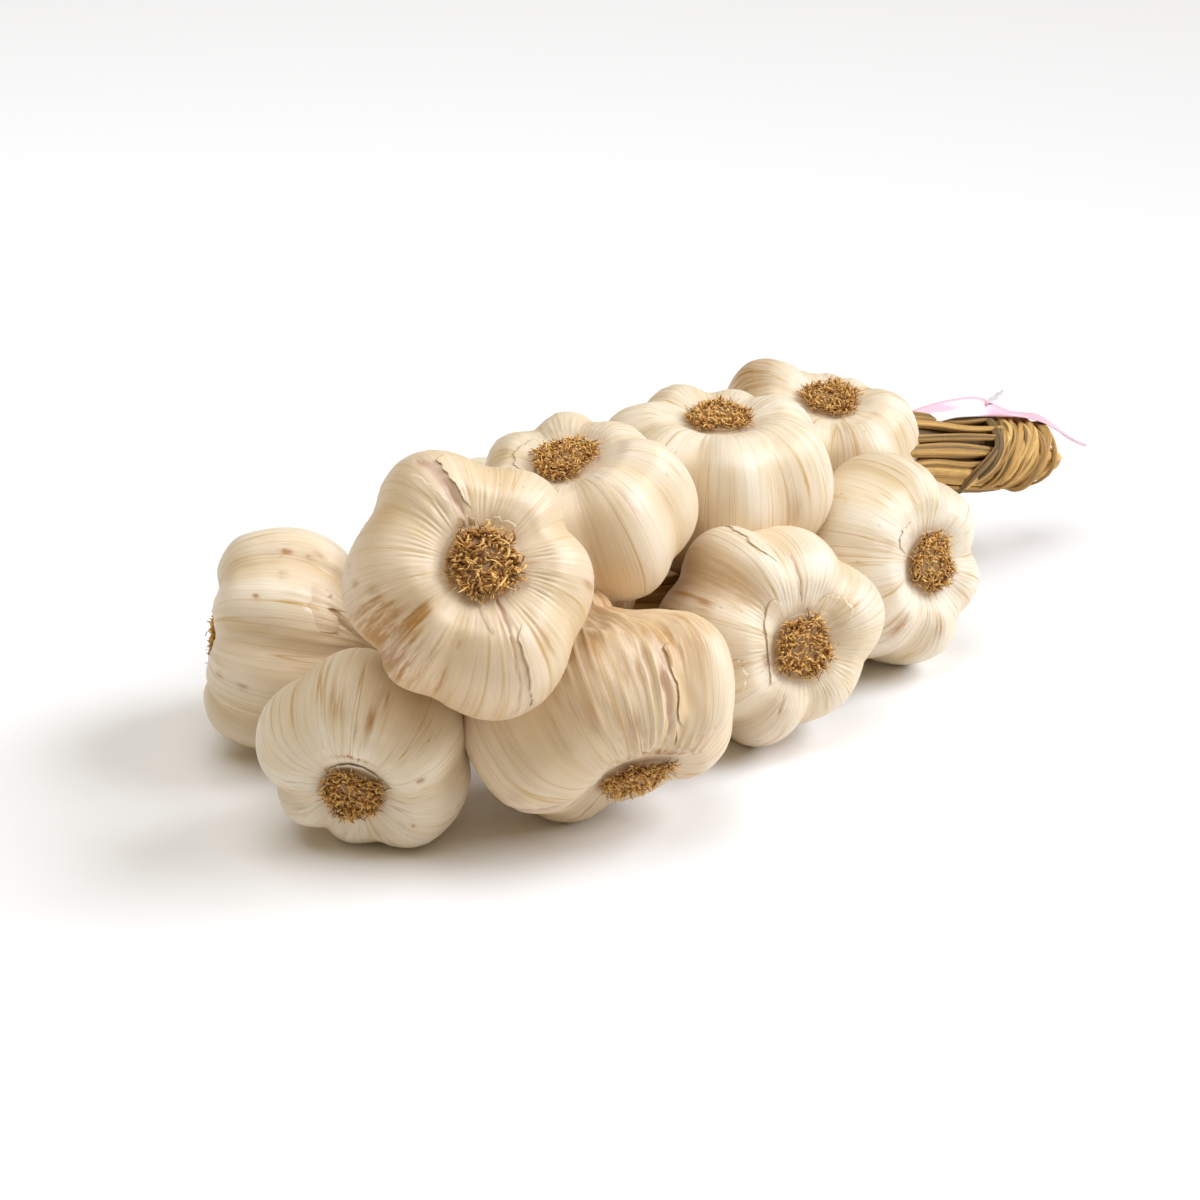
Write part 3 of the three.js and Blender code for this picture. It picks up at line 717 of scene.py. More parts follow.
def skin_relief(bulb, rng, angle, rise):
    """How far the skin stands out of the plain form, in millimetres, and the lines that it shows."""
    depth, middle, half = PLEATS.get(bulb["node"], PLAIN_PLEATS)
    pleats = depth * np.exp(-((around_clock(angle, middle) / half) ** 4))
    near_root = np.exp(-(((rise - ROOT_PLEATS_AT[0]) / ROOT_PLEATS_AT[1]) ** 2))
    near_neck = smoothstep(*NECK_SETS_IN, rise)
    body = smoothstep(*BODY_SETS_IN, rise)
    lumps = LUMP_HEIGHT * ripple(rng, angle, rise, LUMP_WAVES)
    shown = broken_up(rng, angle, rise, RIDGE_BREAKS, RIDGE_BREAK_WAVES, 1)
    ridge = thin_ridges(ripple(rng, angle, rise, RIDGE_WAVES), RIDGE_WIDTH) * shown
    pleat = thin_ridges(ripple(rng, angle, rise, PLEAT_WAVES), PLEAT_WIDTH)
    crinkle = ripple(rng, angle, rise, CRINKLE_WAVES)
    root_pleats = -ROOT_PLEAT_DEPTH * np.abs(ripple(rng, angle, rise, ROOT_PLEAT_WAVES)) * near_root
    neck_pleats = -NECK_PLEAT_DEPTH * np.abs(ripple(rng, angle, rise, NECK_PLEAT_WAVES)) * near_neck
    patchy = broken_up(rng, angle, rise, PLEAT_BREAKS, PLEAT_BREAK_WAVES, PLEAT_MOST)
    crumple = pleats * (pleat * patchy - PLEAT_SINK + CRINKLE_HEIGHT * crinkle)
    return body * (lumps + RIDGE_HEIGHT * ridge + root_pleats + neck_pleats + crumple), ridge


def neck_rows(bulb, axes, centre, last_ring):
    """Rings from the bulb's last ring to the plait, along a bent line, in the layout."""
    tall = bulb.get("shoulder", 1.0) * bulb["size"] / 2
    start = centre + axes @ np.array([0, BULB_PROFILE[-1][0] * tall, 0])
    bend = centre + axes @ np.array([0, NECK_BEND * tall, 0])
    end = plait_points[np.argmin(np.linalg.norm(plait_points - bend, axis=1))]
    share = np.linspace(0, 1, NECK_ROWS + 1)[1:, None]
    line = (1 - share) ** 2 * start + 2 * share * (1 - share) * bend + share**2 * end
    spokes = last_ring - last_ring.mean(0)
    narrow = NECK_RADIUS / np.linalg.norm(spokes, axis=1).mean()
    scale = 1 + (narrow - 1) * smoothstep(0, NECK_NARROW_BY, share)
    tangent = unit(np.gradient(np.concatenate([start[None], line]), axis=0))[1:]
    axis = axes[:, 1]
    rings = []
    for place, size, direction in zip(line, scale, tangent):
        turned = Vector(axis).rotation_difference(Vector(direction)).to_matrix()
        rings.append(place + size * (spokes @ np.array(turned).T))
    return np.array(rings)


class Skin:
    """A bulb's placed skin and what it shows, for laying flaps on it."""

    def __init__(self, index, points, shown):
        self.index = index
        self.points = points
        self.normals = grid_normals(points)
        self.shown = shown

    def sample(self, clock, rise):
        rows, columns = self.points.shape[:2]
        row = np.clip(rise, 0, 1) * (rows - 1 - SHORT_OF_END)
        column = (clock / 360 * columns) % columns
        r, c = row.astype(int), column.astype(int) % columns
        after = (c + 1) % columns
        fr, fc = (row - r)[..., None], (column - np.floor(column))[..., None]

        def blend(values):
            lower = values[r, c] * (1 - fc) + values[r, after] * fc
            upper = values[r + 1, c] * (1 - fc) + values[r + 1, after] * fc
            return lower * (1 - fr) + upper * fr

        shown = {key: blend(values[..., None])[..., 0] for key, values in self.shown.items()}
        return blend(self.points), unit(blend(self.normals)), shown


def make_bulb(index, bulb, material):
    """A bulb's skin from root plate to neck, and what its roots and flaps need to know of it."""
    rng = np.random.default_rng(BULB_SEED + index)
    points, angle, rise, valley = bulb_grid(bulb, rng)
    relief, ridge = skin_relief(bulb, rng, angle, rise)
    deep, split = split_depth(bulb["node"], angle, rise)
    stain = stain_spots(bulb["node"], rng, angle, rise)
    normals = grid_normals(points)
    axes = bulb_axes(bulb)
    placed = (points + normals * relief[..., None]) @ axes.T
    height = bulb["z"]
    if height is None:
        height = -placed[..., 2].min() - FLAT_SINK
    centre = np.array([bulb["x"], bulb["y"], height], float)
    placed = placed + centre
    unsplit = Skin(index, placed, {"valley": valley, "ridge": ridge, "stain": stain})
    placed = placed - (normals @ axes.T) * deep[..., None]
    placed[..., 2] = np.maximum(placed[..., 2], 0)
    neck = neck_rows(bulb, axes, centre, placed[-1])
    rows = np.concatenate([placed, neck])
    total, columns = rows.shape[:2]
    turn = np.broadcast_to(angle[:1], (total, columns))
    neck_rise = np.broadcast_to(np.linspace(*NECK_RISE, NECK_ROWS)[:, None], neck.shape[:2])
    full_rise = np.concatenate([rise, neck_rise])
    grain = np.stack([np.cos(turn), np.sin(turn), full_rise], -1).reshape(-1, 3)
    flat = rows.reshape(-1, 3)
    first = np.arange(columns)
    last = first + (total - 1) * columns
    triangles = np.concatenate([fan_faces(first[::-1], len(flat)), fan_faces(last, len(flat) + 1)])

    def with_ends(values, fill=0.0):
        on_neck = np.full(neck.shape[:2], fill)
        return np.concatenate([np.concatenate([values, on_neck]).ravel(), [values[0, 0], fill]])

    grain_ends = [[0, 0, 0], [0, 0, NECK_RISE[1]]]
    attributes = {
        "grain": np.concatenate([grain, grain_ends]) + np.array([0, 0, GRAIN_STEP * index]),
        "rise": np.concatenate([full_rise.ravel(), [0, NECK_RISE[1]]]),
        "valley": with_ends(valley, NECK_VALLEY_SHADE),
        "ridge": with_ends(ridge),
        "split": with_ends(split),
        "stain": with_ends(stain),
        "tan": np.full(len(flat) + 2, TAN.get(bulb["node"], 0.0)),
    }
    everything = np.concatenate([flat, [rows[0].mean(0), rows[-1].mean(0)]])
    name = "garlic_" + bulb["node"]
    quads = grid_faces(total, columns)
    piece = mesh_piece(name, everything, quads, triangles, material, attributes)
    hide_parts(bulb["node"])
    return unsplit, axes, centre


# Tubes for root fibres and stems
def tube_points(lines, radii, sides, flatten=1.0, outward=None):
    """Rings round many lines at once: lines is (count, steps, 3), radii is (count, steps)."""
    tangent = unit(np.gradient(lines, axis=1))
    if outward is None:
        outward = np.where(np.abs(tangent[..., 2:]) < STEEP, [0.0, 0.0, 1.0], [1.0, 0.0, 0.0])
    side = unit(np.cross(tangent, outward))
    top = np.cross(side, tangent)
    turn = np.linspace(0, 2 * np.pi, sides, endpoint=False)
    sideways = np.cos(turn)[:, None] * side[..., None, :]
    ring = sideways + flatten * np.sin(turn)[:, None] * top[..., None, :]
    return lines[..., None, :] + radii[..., None, None] * ring


def tube_faces(count, steps, sides):
    one = grid_faces(steps, sides)[:, ::-1]
    offsets = (np.arange(count) * steps * sides)[:, None, None]
    return (one[None] + offsets).reshape(-1, 4)


def tube_caps(count, steps, sides):
    """Both ends of each tube, closed with triangles from the ring's first corner."""
    corner = np.arange(1, sides - 1)
    start = np.stack([np.zeros_like(corner), corner, corner + 1], 1)
    end = start[:, ::-1] + (steps - 1) * sides
    offsets = (np.arange(count) * steps * sides)[:, None, None]
    return (np.concatenate([start, end])[None] + offsets).reshape(-1, 3)


def fibre_lines(rng, radius, stand, count, steps, length, lean, curl, spread):
    """Curled lines that start on the root plate, in the bulb's frame."""
    away = radius * np.sqrt(rng.uniform(spread[0] ** 2, spread[1] ** 2, count))
    angle = rng.uniform(0, 2 * np.pi, count)
    rim = 1
    for swing, waves, shift in RIM_WAVES:
        rim = rim + swing * np.cos(waves * angle + shift * radius)
    away = away * rim
    outward = np.stack([np.sin(angle), 0 * angle, np.cos(angle)], 1)
    around = np.stack([np.cos(angle), 0 * angle, -np.sin(angle)], 1)
    place = outward * away[:, None]
    place[:, 1] = -PLATE_LEVEL * radius + PLATE_ROUGHNESS * rng.uniform(-1, 1, count)
    heading = outward * rng.uniform(*FIBRE_OUTWARD, (count, 1)) + around * rng.uniform(-1, 1, (count, 1))
    heading = unit(lean * unit(heading) + np.array([0, -1, 0]) * (1 - lean))
    bend = rng.normal(0, curl, (count, 3))
    step = rng.uniform(*length, (count, 1)) / (steps - 1)
    lines = [place]
    for _ in range(steps - 1):
        heading = unit(heading + np.cross(bend, heading))
        place = place + heading * step
        place[:, 1] = np.clip(place[:, 1], -(FIBRE_OUTER * radius + stand), -FIBRE_INNER * radius)
        lines.append(place)
    return np.stack(lines, 1)


def make_roots(index, bulb, axes, centre, material):
    """The mat of root fibres on the root plate: packed nubs, fuzz round the rim and curled strips."""
    rng = np.random.default_rng(ROOT_SEED + index)
    radius = bulb["size"] / 2
    curls = MORE_CURLS.get(bulb["node"], ROOT_CURLS)
    stand = ROOT_STAND.get(bulb["node"], PLAIN_STAND)
    points, quads, triangles, shades, start = [], [], [], [], 0
    for count, steps, length, lean, curl, spread, thick, flat in (ROOT_NUBS, ROOT_FUZZ, curls):
        lines = fibre_lines(rng, radius, stand, count, steps, length, lean, curl, spread)
        radii = rng.uniform(*thick, (count, 1)) * np.linspace(1, FIBRE_TAPER, steps)[None]
        rings = tube_points(lines @ axes.T + centre, radii, FIBRE_SIDES, flat)
        fade = np.linspace(-FIBRE_FADE, FIBRE_FADE, steps)[None]
        shade = rng.uniform(*FIBRE_SHADES, (count, 1)) + fade
        points.append(rings.reshape(-1, 3))
        quads.append(tube_faces(count, steps, FIBRE_SIDES) + start)
        triangles.append(tube_caps(count, steps, FIBRE_SIDES) + start)
        shades.append(np.repeat(shade.ravel(), FIBRE_SIDES))
        start += count * steps * FIBRE_SIDES
    points, quads, triangles = (np.concatenate(parts) for parts in (points, quads, triangles))
    points[:, 2] = np.maximum(points[:, 2], FIBRE_FLOOR)
    shades = {"shade": np.clip(np.concatenate(shades), 0, 1)}
    name = "roots_" + bulb["node"].removeprefix("bulb_")
    return mesh_piece(name, points, quads, triangles, material, shades)


# Torn flaps of skin
def sheet_piece(name, top, normals, thickness, material, attributes):
    """A thin closed sheet under a grid of points."""
    lower = top - normals * thickness
    rings = np.concatenate([top, lower[:, ::-1]], 1)
    rows, sides = rings.shape[:2]
    doubled = {
        key: np.concatenate([values, values[:, ::-1]], 1).reshape(rows * sides, *values.shape[2:])
        for key, values in attributes.items()
    }
    quads = grid_faces(rows, sides)
    caps = tube_caps(1, rows, sides)[:, ::-1]
    facing = np.cross(top[0, 1] - top[0, 0], top[1, 0] - top[0, 0]) @ normals[0, 0]
    if facing < 0:
        quads = quads[:, ::-1]
        caps = caps[:, ::-1]
    return mesh_piece(name, rings.reshape(-1, 3), quads, caps, material, doubled)


def clock_line(corners, count):
    """A line of clock angles and rises through the corners, without a jump at 360 degrees."""
    corners = np.array(corners, float)
    corners[:, 0] = np.degrees(np.unwrap(np.radians(corners[:, 0])))
    at = np.linspace(0, len(corners) - 1, count)
    steps = np.arange(len(corners))
    return np.stack([np.interp(at, steps, corners[:, k]) for k in range(2)], 1)


def ragged(rng, count):
    """A rough line between 0 and 1."""
    at = np.linspace(0, 1, count)
    knots = np.linspace(0, 1, max(count // 3, 4))
    coarse = np.interp(at, knots, rng.uniform(0, 1, len(knots)))
    fine = rng.uniform(0, 1, count)
    return np.clip(FLAP_COARSENESS * coarse + (1 - FLAP_COARSENESS) * fine, 0, 1)


def make_flap(number, skin, whole, torn, lift, tint, material):
    """A thin flap that leaves the skin at the whole line and ends near the torn one."""
    rng = np.random.default_rng(FLAP_SEED + number)
    along, across = FLAP_GRID
    start = clock_line(whole, along)
    end = clock_line(torn, along)
    gap = (end[:, :1] - start[:, :1] + 180) % 360 - 180
    end[:, :1] = start[:, :1] + gap
    position = np.linspace(0, 1, along)
    ends = smoothstep(0, FLAP_ENDS, position) * smoothstep(1, 1 - FLAP_ENDS, position)
    rough = FLAP_LOOSE_ROUGHNESS if lift > FLAP_LOOSE_LIFT else FLAP_ROUGHNESS
    narrowing = FLAP_NARROWEST + (1 - FLAP_NARROWEST) * ends**FLAP_END_CURVE
    reach = (1 - rough * ragged(rng, along)) * narrowing
    share = np.linspace(0, 1, across)[None] * reach[:, None]
    place = start[:, None] + share[..., None] * (end - start)[:, None]
    surface, normals, shown = skin.sample(place[..., 0], place[..., 1])
    height = -FLAP_SINK + FLAP_RISE * smoothstep(0, FLAP_OUT_BY, share)
    uneven = FLAP_LEAST_CURL + (1 - FLAP_LEAST_CURL) * ragged(rng, along)
    curl = lift * share**2 * uneven[:, None] * ends[:, None]
    top = surface + normals * (height + curl)[..., None]
    top[..., 2] = np.maximum(top[..., 2], FLAP_FLOOR)
    turn = np.radians(place[..., 0])
    grain = np.stack([np.cos(turn), np.sin(turn), place[..., 1] + GRAIN_STEP * skin.index], -1)
    rise = np.maximum(place[..., 1], FLAP_LOWEST_RISE)
    blank = np.zeros((along, across))
    attributes = dict(shown, grain=grain, rise=rise, split=blank, tan=blank + tint)
    name = "flap_%02d" % number
    return sheet_piece(name, top, normals, FLAP_THICKNESS, material, attributes)


# Plait
def stem_mesh(name, lines, radii, material, rng, sides, flatten=STEM_FLATNESS, outward=None, shades=None):
    """Dry stems: ridged tubes along the lines, with a grain that runs along them."""
    count, steps = lines.shape[:2]
    rings = tube_points(lines, radii, sides, flatten, outward)
    middle = lines[:, :, None, :]
    turn = np.arange(sides) / sides * 2 * np.pi
    around = turn[None, None, :, None]
    phase = rng.uniform(0, 2 * np.pi, (count, 1, 1, 1))
    along = np.linspace(0, 1, steps)[None, :, None, None]
    wave = np.cos(STEM_RIDGES[0] * around + phase + STEM_RIDGE_TWIST * along)
    wave = wave + np.cos(STEM_RIDGES[1] * around - 2 * phase)
    swelling = STEM_SWELLING * np.sin(STEM_SWELLINGS * along + 2 * phase)
    rings = middle + (rings - middle) * (1 + STEM_RIDGE_HEIGHT * wave + swelling)
    rings[..., 2] = np.maximum(rings[..., 2], 0)
    tone = rng.uniform(*STEM_TONES, count) if shades is None else np.array(shades)
    size = (count, steps, sides)
    # painted shade: lighter where the ridges stand out, darker in the grooves between them
    shade = tone[:, None, None] + STEM_GROOVE_PAINTED_SHADE * wave[..., 0] + np.zeros(size)
    length = np.cumsum(np.linalg.norm(np.diff(lines, axis=1, prepend=lines[:, :1]), axis=2), axis=1)
    grain = np.stack([
        np.broadcast_to(np.cos(turn), size) + STEM_GRAIN_STEP * np.arange(count)[:, None, None],
        np.broadcast_to(np.sin(turn), size),
        np.broadcast_to(length[..., None] / STEM_GRAIN_LENGTH, size),
    ], -1)
    attributes = {"shade": np.clip(shade, 0, 1).ravel(), "grain": grain.reshape(-1, 3)}
    quads = tube_faces(count, steps, sides)
    caps = tube_caps(count, steps, sides)
    return mesh_piece(name, rings.reshape(-1, 3), quads, caps, material, attributes)


def between(pair, share):
    return pair[0] + (pair[1] - pair[0]) * share


def tail_taper(share):
    return 1 - TAIL_TAPER * smoothstep(TAIL_START, 1, share)


def make_tail_strands(material):
    rng = np.random.default_rng(TAIL_SEED)
    along = np.linspace(0, 1, STRAND_STEPS)
    share = between((TAIL_START, TAIL_END), along)
    taper = tail_taper(share) * (1 - TAIL_PINCH * smoothstep(*TAIL_PINCH_AT, share))
    lines, radii = [], []
    for strand in range(STRANDS):
        phase = 2 * np.pi * (STRAND_TURNS * along + strand / STRANDS)
        for stem in range(STRAND_STEMS):
            twist = 2 * np.pi * (stem / STRAND_STEMS + STRAND_TWIST * along)
            twist = twist + rng.uniform(-STRAND_TWIST_SHIFT, STRAND_TWIST_SHIFT)
            ring = rng.uniform(*STRAND_SPREAD)
            aside = taper * (STRAND_SWAY * np.sin(phase) + STRAND_WIDTH * ring * np.cos(twist))
            up = taper * (STRAND_LIFT * np.sin(2 * phase) + STRAND_HEIGHT * ring * np.sin(twist))
            lines.append(beside_plait(share, aside, up))
            radii.append(taper * rng.uniform(*STRAND_RADII))
    # near-black tones: painted shade under the wound stems
    tones = rng.uniform(*STRAND_SHADE_TONES, len(lines))
    lines, radii = np.array(lines), np.array(radii)
    tail = stem_mesh("plait_tail", lines, radii, material, rng, STRAND_SIDES, shades=tones)
    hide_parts("plait")


def make_core(material):
    """The plait between the bulbs, twisted stems that hardly show."""
    rng = np.random.default_rng(CORE_SEED)
    share = np.linspace(0, CORE_END, CORE_STEPS)
    lines = []
    for stem in range(CORE_STEMS):
        twist = 2 * np.pi * (stem / CORE_STEMS + CORE_TURNS * share)
        lines.append(beside_plait(share, CORE_SPREAD * np.cos(twist), CORE_SPREAD * np.sin(twist)))
    radii = np.full((CORE_STEMS, CORE_STEPS), CORE_RADIUS)
    stem_mesh("plait_core", np.array(lines), radii, material, rng, CORE_SIDES)


def make_wrap(material):
    """Flat stems wound round the tail, each a slanted turn of its own."""
    rng = np.random.default_rng(WRAP_SEED)
    tuck = WRAP_TUCK * (1 - np.sin(np.linspace(0, np.pi, WRAP_STEPS))) ** 3
    lines, outs, widths = [], [], []
    for place in np.linspace(0, 1, WRAP_COUNT):
        begin = rng.uniform(*WRAP_BEGIN) * np.pi
        turn = np.linspace(begin, begin + 2 * np.pi * rng.uniform(*WRAP_TURNS), WRAP_STEPS)
        slant = between(WRAP_SLANT, place)
        middle = between((WRAP_FROM, WRAP_TO), place) + rng.uniform(-WRAP_SHIFT, WRAP_SHIFT)
        share = middle + slant * rng.uniform(*WRAP_SLANT_SPREAD) * np.cos(turn)
        share = share + WRAP_SWAY * np.sin(2 * turn + rng.uniform(*PHASES))
        radius = between(WRAP_RADIUS, place) + rng.uniform(*WRAP_LIFT)
        size = radius + WRAP_SWING * np.sin(3 * turn + rng.uniform(*PHASES))
        size = size - WRAP_FLAT_TOP * np.maximum(np.cos(turn), 0) - tuck
        line = beside_plait(share, size * np.sin(turn), size * np.cos(turn))
        lines.append(line)
        outs.append(line - beside_plait(share, 0 * turn, 0 * turn))
        width = rng.uniform(*WRAP_WIDTH)
        widths.append(width * (1 + WRAP_WIDTH_SWING * np.sin(2 * turn + rng.uniform(*PHASES))))
    tones = rng.uniform(0, 1, WRAP_COUNT) ** WRAP_DARKENING
    lines, outs, widths = np.array(lines), np.array(outs), np.array(widths)
    stem_mesh("plait_wrap", lines, widths, material, rng, WRAP_SIDES, WRAP_FLATNESS, outs, tones)


def make_side_stems(material):
    """Straight stems beside the tail that end under the wound ones."""
    rng = np.random.default_rng(SIDE_SEED)
    at = np.linspace(0, 1, SIDE_STEPS)
    anchor = np.full(SIDE_STEPS, SIDE_ANCHOR)
    axis = beside_plait(anchor, 0 * at, 0 * at)
    ahead = beside_plait(anchor + SIDE_AHEAD, 0 * at, 0 * at)
    tangent = unit(ahead - axis)
    swell = np.sin(np.pi * between(SIDE_SWELL, at))
    narrowing = SIDE_NARROWEST + (1 - SIDE_NARROWEST) * swell
    for number, (along, aside, up, radius, flat) in enumerate(SIDE_STEMS):
        place = between(along, at)[:, None] * tangent
        bow = SIDE_BOW * np.sin(np.pi * at * rng.uniform(*SIDE_BOW_WAVES))
        line = beside_plait(anchor, between(aside, at), between(up, at) + bow) + place
        outward = (line - axis - place)[None]
        size = (radius * narrowing)[None]
        # the thick filler stem is black: painted shade inside the bundle
        tone = rng.uniform(*SIDE_TONES) if radius < SHADE_FILL_THICK else 0.0
        name = "plait_stem_%d" % number
        stem_mesh(name, line[None], size, material, rng, SIDE_SIDES, flat, outward, [tone])


def make_stem_ends(material):
    """The blunt end of the bundle: thick cut stems side by side."""
    rng = np.random.default_rng(END_SEED)
    share = np.linspace(END_FROM, 1, END_STEPS)
    at = np.linspace(0, 1, END_STEPS)
    rounding = np.concatenate([np.ones(END_STEPS - len(END_ROUNDING)), END_ROUNDING])
    lines, radii = [], []
    for stem in range(END_COUNT):
        angle = 2 * np.pi * stem / END_COUNT + END_TURN
        size = END_OUTER if stem % 3 else END_INNER
        line = beside_plait(share, size * np.cos(angle) + 0 * share, size * np.sin(angle) + 0 * share)
        lines.append(line + plait_tangents[-1] * (at * rng.uniform(*END_LENGTHS))[:, None])
        radii.append(rng.uniform(*END_RADII) * rounding)
    stem_mesh("plait_ends", np.array(lines), np.array(radii), material, rng, END_SIDES, END_FLATNESS)


# Ribbon
def ribbon_strip(name, line, side, width, wave, material, white):
    """A thin wavy film along a line. White is a number, or a function of the places along and across."""
    tangent = unit(np.gradient(line, axis=0))
    side = np.broadcast_to(side, line.shape)
    normal = unit(np.cross(tangent, side))
    across = np.linspace(-0.5, 0.5, RIBBON_COLUMNS)
    top = line[:, None] + side[:, None] * (width[:, None] * across)[..., None]
    at = np.linspace(0, 1, len(line))[:, None]
    lift = wave * np.sin(RIBBON_WAVES * at + RIBBON_WAVE_SLANT * across[None])
    top = top + normal[:, None] * lift[..., None]
    normals = np.broadcast_to(normal[:, None], top.shape)
    shade = white(at, across[None]) if callable(white) else white
    shade = np.clip(shade + 0 * top[..., 0], 0, 1)
    return sheet_piece(name, top, normals, RIBBON_THICKNESS, material, {"shade": shade})


def white_near_bulb(at, across):
    edge = across + WHITE_SWING * np.sin(WHITE_WAVES * at)
    return smoothstep(*WHITE_ALONG, at) * smoothstep(*WHITE_ACROSS, edge)


def make_ribbon(material):
    line = even_line(RIBBON_LINE, RIBBON_STEPS)
    heading = np.radians(RIBBON_HEADING)
    forward = np.array([np.cos(heading), np.sin(heading), 0])
    left = np.array([-np.sin(heading), np.cos(heading), 0])
    up = np.array([0, 0, 1.0])
    along = line[:, :1]
    on_tail = smoothstep(*ON_TAIL_AT, along)
    aside = RIBBON_ASIDE + ON_TAIL_ASIDE * on_tail
    middle = RIBBON_FROM + along * forward + line[:, 1:] * up - aside * left
    tip = np.clip((along[-1] - along) / RIBBON_TIP, RIBBON_TIP_SHARE, 1)
    width = ((RIBBON_WIDTH + BEFORE_TAIL_WIDER * (1 - on_tail)) * tip)[:, 0]
    tilted = unit(left + (RIBBON_TILT + BEFORE_TAIL_TILT * (1 - on_tail)) * up)
    strip = ribbon_strip("ribbon_strip", middle, tilted, width, RIBBON_WAVE, material, white_near_bulb)
    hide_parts("ribbon")
    knot = RIBBON_FROM + KNOT_ALONG * forward + KNOT_HEIGHT * up
    turn = np.linspace(0, 2 * np.pi, KNOT_STEPS)[:, None]
    loop = knot + KNOT_RADIUS * (np.cos(turn) * forward * KNOT_LONG + np.sin(turn) * up * KNOT_TALL)
    widths = np.full(KNOT_STEPS, KNOT_WIDTH)
    ribbon_strip("ribbon_knot", loop, left, widths, KNOT_WAVE, material, KNOT_WHITE)
    reach = np.linspace(0, LOOSE_LENGTH, LOOSE_STEPS)[:, None]
    swing = LOOSE_SWING * np.sin(reach * LOOSE_WAVE) * forward
    loose = knot + reach * unit(forward + LOOSE_LEAN * up) + swing
    narrow = LOOSE_WIDTH * np.linspace(1, LOOSE_TAPER, LOOSE_STEPS)
    ribbon_strip("ribbon_end", loose, left, narrow, KNOT_WAVE, material, LOOSE_WHITE)


# Materials
class Look:
    """A material and short ways to build its nodes."""

    def __init__(self, name, roughness):
        self.material = bpy.data.materials.new(name)
        self.material.use_nodes = True
        self.nodes = self.material.node_tree.nodes
        self.links = self.material.node_tree.links
        self.shader = self.nodes["Principled BSDF"]
        self.shader.inputs["Roughness"].default_value = roughness

    def put(self, value, socket):
        if isinstance(value, bpy.types.NodeSocket):
            self.links.new(value, socket)
        else:
            socket.default_value = value

    def attribute(self, name, kind="Fac"):
        node = self.nodes.new("ShaderNodeAttribute")
        node.attribute_name = name
        return node.outputs[kind]

    def ramp(self, value, stops):
        node = self.nodes.new("ShaderNodeValToRGB")
        elements = node.color_ramp.elements
        while len(elements) < len(stops):
            elements.new(0.5)
        for element, (place, colour) in zip(elements, stops):
            element.position = place
            element.color = (*colour, 1)
        self.put(value, node.inputs["Fac"])
        return node.outputs["Color"]

    def mask(self, value, stops):
        return self.ramp(value, [(place, (grey, grey, grey)) for place, grey in stops])

    def maths(self, operation, *values, clamp=False):
        node = self.nodes.new("ShaderNodeMath")
        node.operation = operation
        node.use_clamp = clamp
        for value, socket in zip(values, node.inputs):
            self.put(value, socket)
        return node.outputs[0]

    def product(self, first, second):
        return self.maths("MULTIPLY", first, second, clamp=True)

    def stretched(self, kind, vector, scale):
        """A texture node whose pattern is stretched."""
        stretch = self.nodes.new("ShaderNodeVectorMath")
        stretch.operation = "MULTIPLY"
        stretch.inputs[1].default_value = scale
        self.put(vector, stretch.inputs[0])
        node = self.nodes.new(kind)
        node.inputs["Scale"].default_value = 1.0
        self.put(stretch.outputs[0], node.inputs["Vector"])
        return node

    def noise(self, vector, scale, detail, roughness):
        node = self.stretched("ShaderNodeTexNoise", vector, scale)
        node.inputs["Detail"].default_value = detail
        node.inputs["Roughness"].default_value = roughness
        return node.outputs["Fac"]

    def mix(self, factor, colour, tint):
        node = self.nodes.new("ShaderNodeMix")
        node.data_type = "RGBA"
        self.put(factor, node.inputs["Factor"])
        self.put(colour, node.inputs[6])
        self.put((*tint, 1), node.inputs[7])
        return node.outputs[2]

    def bump(self, height, strength, distance):
        node = self.nodes.new("ShaderNodeBump")
        node.inputs["Strength"].default_value = strength
        node.inputs["Distance"].default_value = distance
        self.put(height, node.inputs["Height"])
        self.put(node.outputs["Normal"], self.shader.inputs["Normal"])

    def coloured(self, colour):
        self.put(colour, self.shader.inputs["Base Color"])
        return self.material


def skin_material():
    look = Look("garlic_skin", SKIN_ROUGHNESS)
    look.shader.inputs["Specular IOR Level"].default_value = SKIN_SPECULAR
    grain = look.attribute("grain", "Vector")
    noises = {key: look.noise(grain, *settings) for key, settings in SKIN_NOISE.items()}
    patches = look.mask(noises["uneven"], PATCH_MASK)
    blotches = look.mask(noises["speckle"], BLOTCH_MASK)
    colour = look.ramp(noises["broad"], SKIN_BASE)
    for key, stops, tint in SKIN_LINES:
        colour = look.mix(look.product(look.mask(noises[key], stops), patches), colour, tint)
    cells = look.stretched("ShaderNodeTexVoronoi", grain, SPECK_SCALE)
    specks = look.mask(cells.outputs["Distance"], SPECK_MASK)
    colour = look.mix(look.product(specks, SPECK_STRENGTH), colour, SKIN_STAIN)
    for key, strength, tint, broken in (
        ("tan", TAN_STRENGTH, SKIN_TAN, noises["broad"]),
        # painted shade in the valleys between the cloves and on the neck
        ("valley", VALLEY_SHADE_STRENGTH, VEIN_AND_VALLEY_SHADE, None),
        ("ridge", RIDGE_STRENGTH, VEIN_AND_VALLEY_SHADE, None),
        ("stain", STAIN_STRENGTH, SKIN_STAIN, blotches),
        ("split", SPLIT_STRENGTH, SKIN_SPLIT, None),
    ):
        weight = look.product(look.attribute(key), strength)
        if broken is not None:
            weight = look.product(weight, broken)
        colour = look.mix(weight, colour, tint)
    rise = look.attribute("rise")
    # the root plate's brown with its painted shade between the fibres, and the neck's tan
    for stops, tint in SKIN_ENDS:
        colour = look.mix(look.mask(rise, stops), colour, tint)
    look.bump(noises["fine"], *SKIN_BUMP)
    return look.coloured(colour)


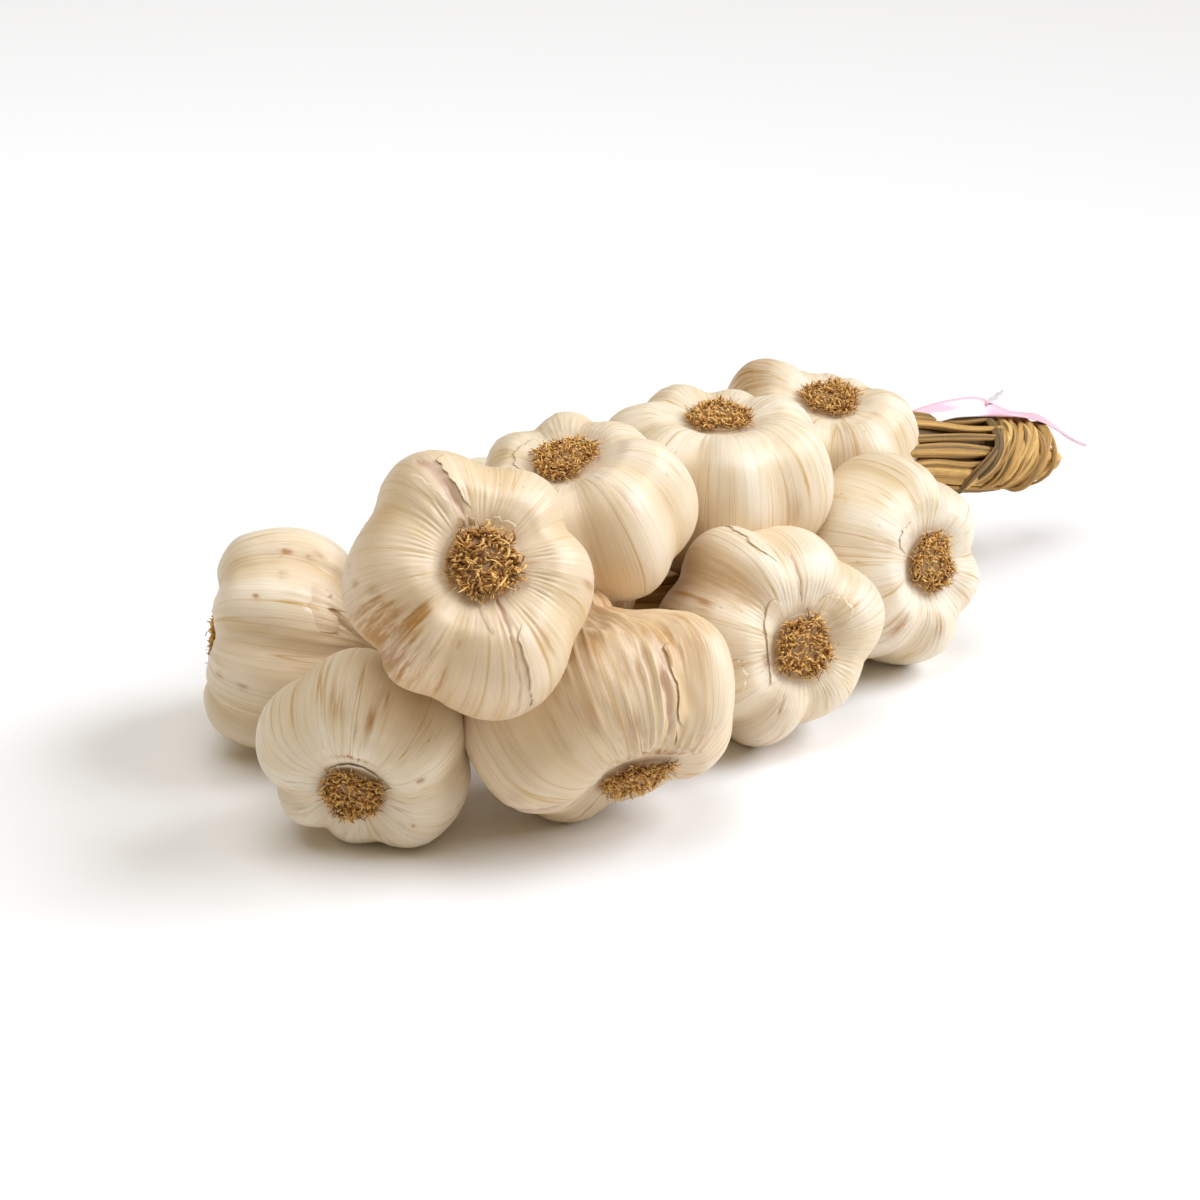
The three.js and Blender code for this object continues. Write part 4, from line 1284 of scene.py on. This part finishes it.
def stem_material():
    look = Look("dry_stem", STEM_ROUGHNESS)
    grain = look.attribute("grain", "Vector")
    fibres = look.noise(grain, *STEM_NOISE)
    shade = look.maths("MULTIPLY_ADD", fibres, STEM_CONTRAST, look.attribute("shade"))
    shade = look.maths("SUBTRACT", shade, STEM_CONTRAST / 2)
    olive = look.mask(look.noise(grain, *OLIVE_NOISE), OLIVE_MASK)
    look.bump(fibres, *STEM_BUMP)
    return look.coloured(look.mix(olive, look.ramp(shade, STEM_COLOURS), STEM_OLIVE))


def shaded_material(name, roughness, stops):
    """A material whose colour follows the shade alone."""
    look = Look(name, roughness)
    return look.coloured(look.ramp(look.attribute("shade"), stops))


# Floor, light and camera
def make_floor():
    bpy.ops.mesh.primitive_plane_add(size=FLOOR_SIZE, location=(0, 0, 0))
    floor = bpy.context.object
    floor.name = "floor"
    look = Look("floor_white", FLOOR_ROUGHNESS)
    floor.data.materials.append(look.coloured((*FLOOR_COLOUR, 1)))


def aimed(name, data, place, direction):
    """An object in the scene that looks along a direction."""
    thing = bpy.data.objects.new(name, data)
    bpy.context.scene.collection.objects.link(thing)
    thing.location = place
    thing.rotation_euler = Vector(direction).to_track_quat("-Z", "Y").to_euler()
    return thing


def make_light():
    world = bpy.data.worlds.new("studio")
    bpy.context.scene.world = world
    world.use_nodes = True
    background = world.node_tree.nodes["Background"]
    background.inputs["Color"].default_value = (*WORLD_COLOUR, 1)
    background.inputs["Strength"].default_value = WORLD_STRENGTH
    sun = bpy.data.lights.new("key", "SUN")
    sun.energy = SUN_STRENGTH
    sun.color = SUN_COLOUR
    sun.angle = np.radians(SUN_SPREAD)
    aimed("key", sun, SUN_FROM, -Vector(SUN_FROM))
    softbox = bpy.data.lights.new("softbox", "AREA")
    softbox.energy = SOFTBOX_POWER
    softbox.color = SOFTBOX_COLOUR
    softbox.size = SOFTBOX_SIZE
    aimed("softbox", softbox, SOFTBOX_PLACE, -Vector(SOFTBOX_PLACE))


def make_camera():
    heading, elevation = np.radians([CAMERA_HEADING, CAMERA_ELEVATION])
    level = np.cos(elevation)
    ahead = np.array([np.cos(heading) * level, np.sin(heading) * level, -np.sin(elevation)])
    place = (CAMERA_TARGET - CAMERA_DISTANCE * ahead - LAYOUT_MIDDLE) * MM
    camera = bpy.data.cameras.new("camera")
    camera.lens = CAMERA_LENS
    camera.sensor_width = CAMERA_SENSOR
    bpy.context.scene.camera = aimed("camera", camera, place, ahead)


make_camera()
make_floor()
make_light()
bpy.context.scene.view_settings.view_transform = "Standard"
skin_paper = skin_material()
roots = shaded_material("root_fibre", ROOT_ROUGHNESS, ROOT_COLOURS)
stems = stem_material()
film = shaded_material("ribbon_film", RIBBON_ROUGHNESS, RIBBON_STOPS)
skins = {}
for number, one_bulb in enumerate(BULBS):
    skins[one_bulb["node"]], bulb_frame, bulb_centre = make_bulb(number, one_bulb, skin_paper)
    make_roots(number, one_bulb, bulb_frame, bulb_centre, roots)
for number, (node, whole_line, torn_line, flap_lift, flap_tint) in enumerate(FLAPS):
    flap_tint += TAN.get(node, 0.0)
    make_flap(number, skins[node], whole_line, torn_line, flap_lift, flap_tint, skin_paper)
make_core(stems)
make_tail_strands(stems)
make_wrap(stems)
make_side_stems(stems)
make_stem_ends(stems)
make_ribbon(film)
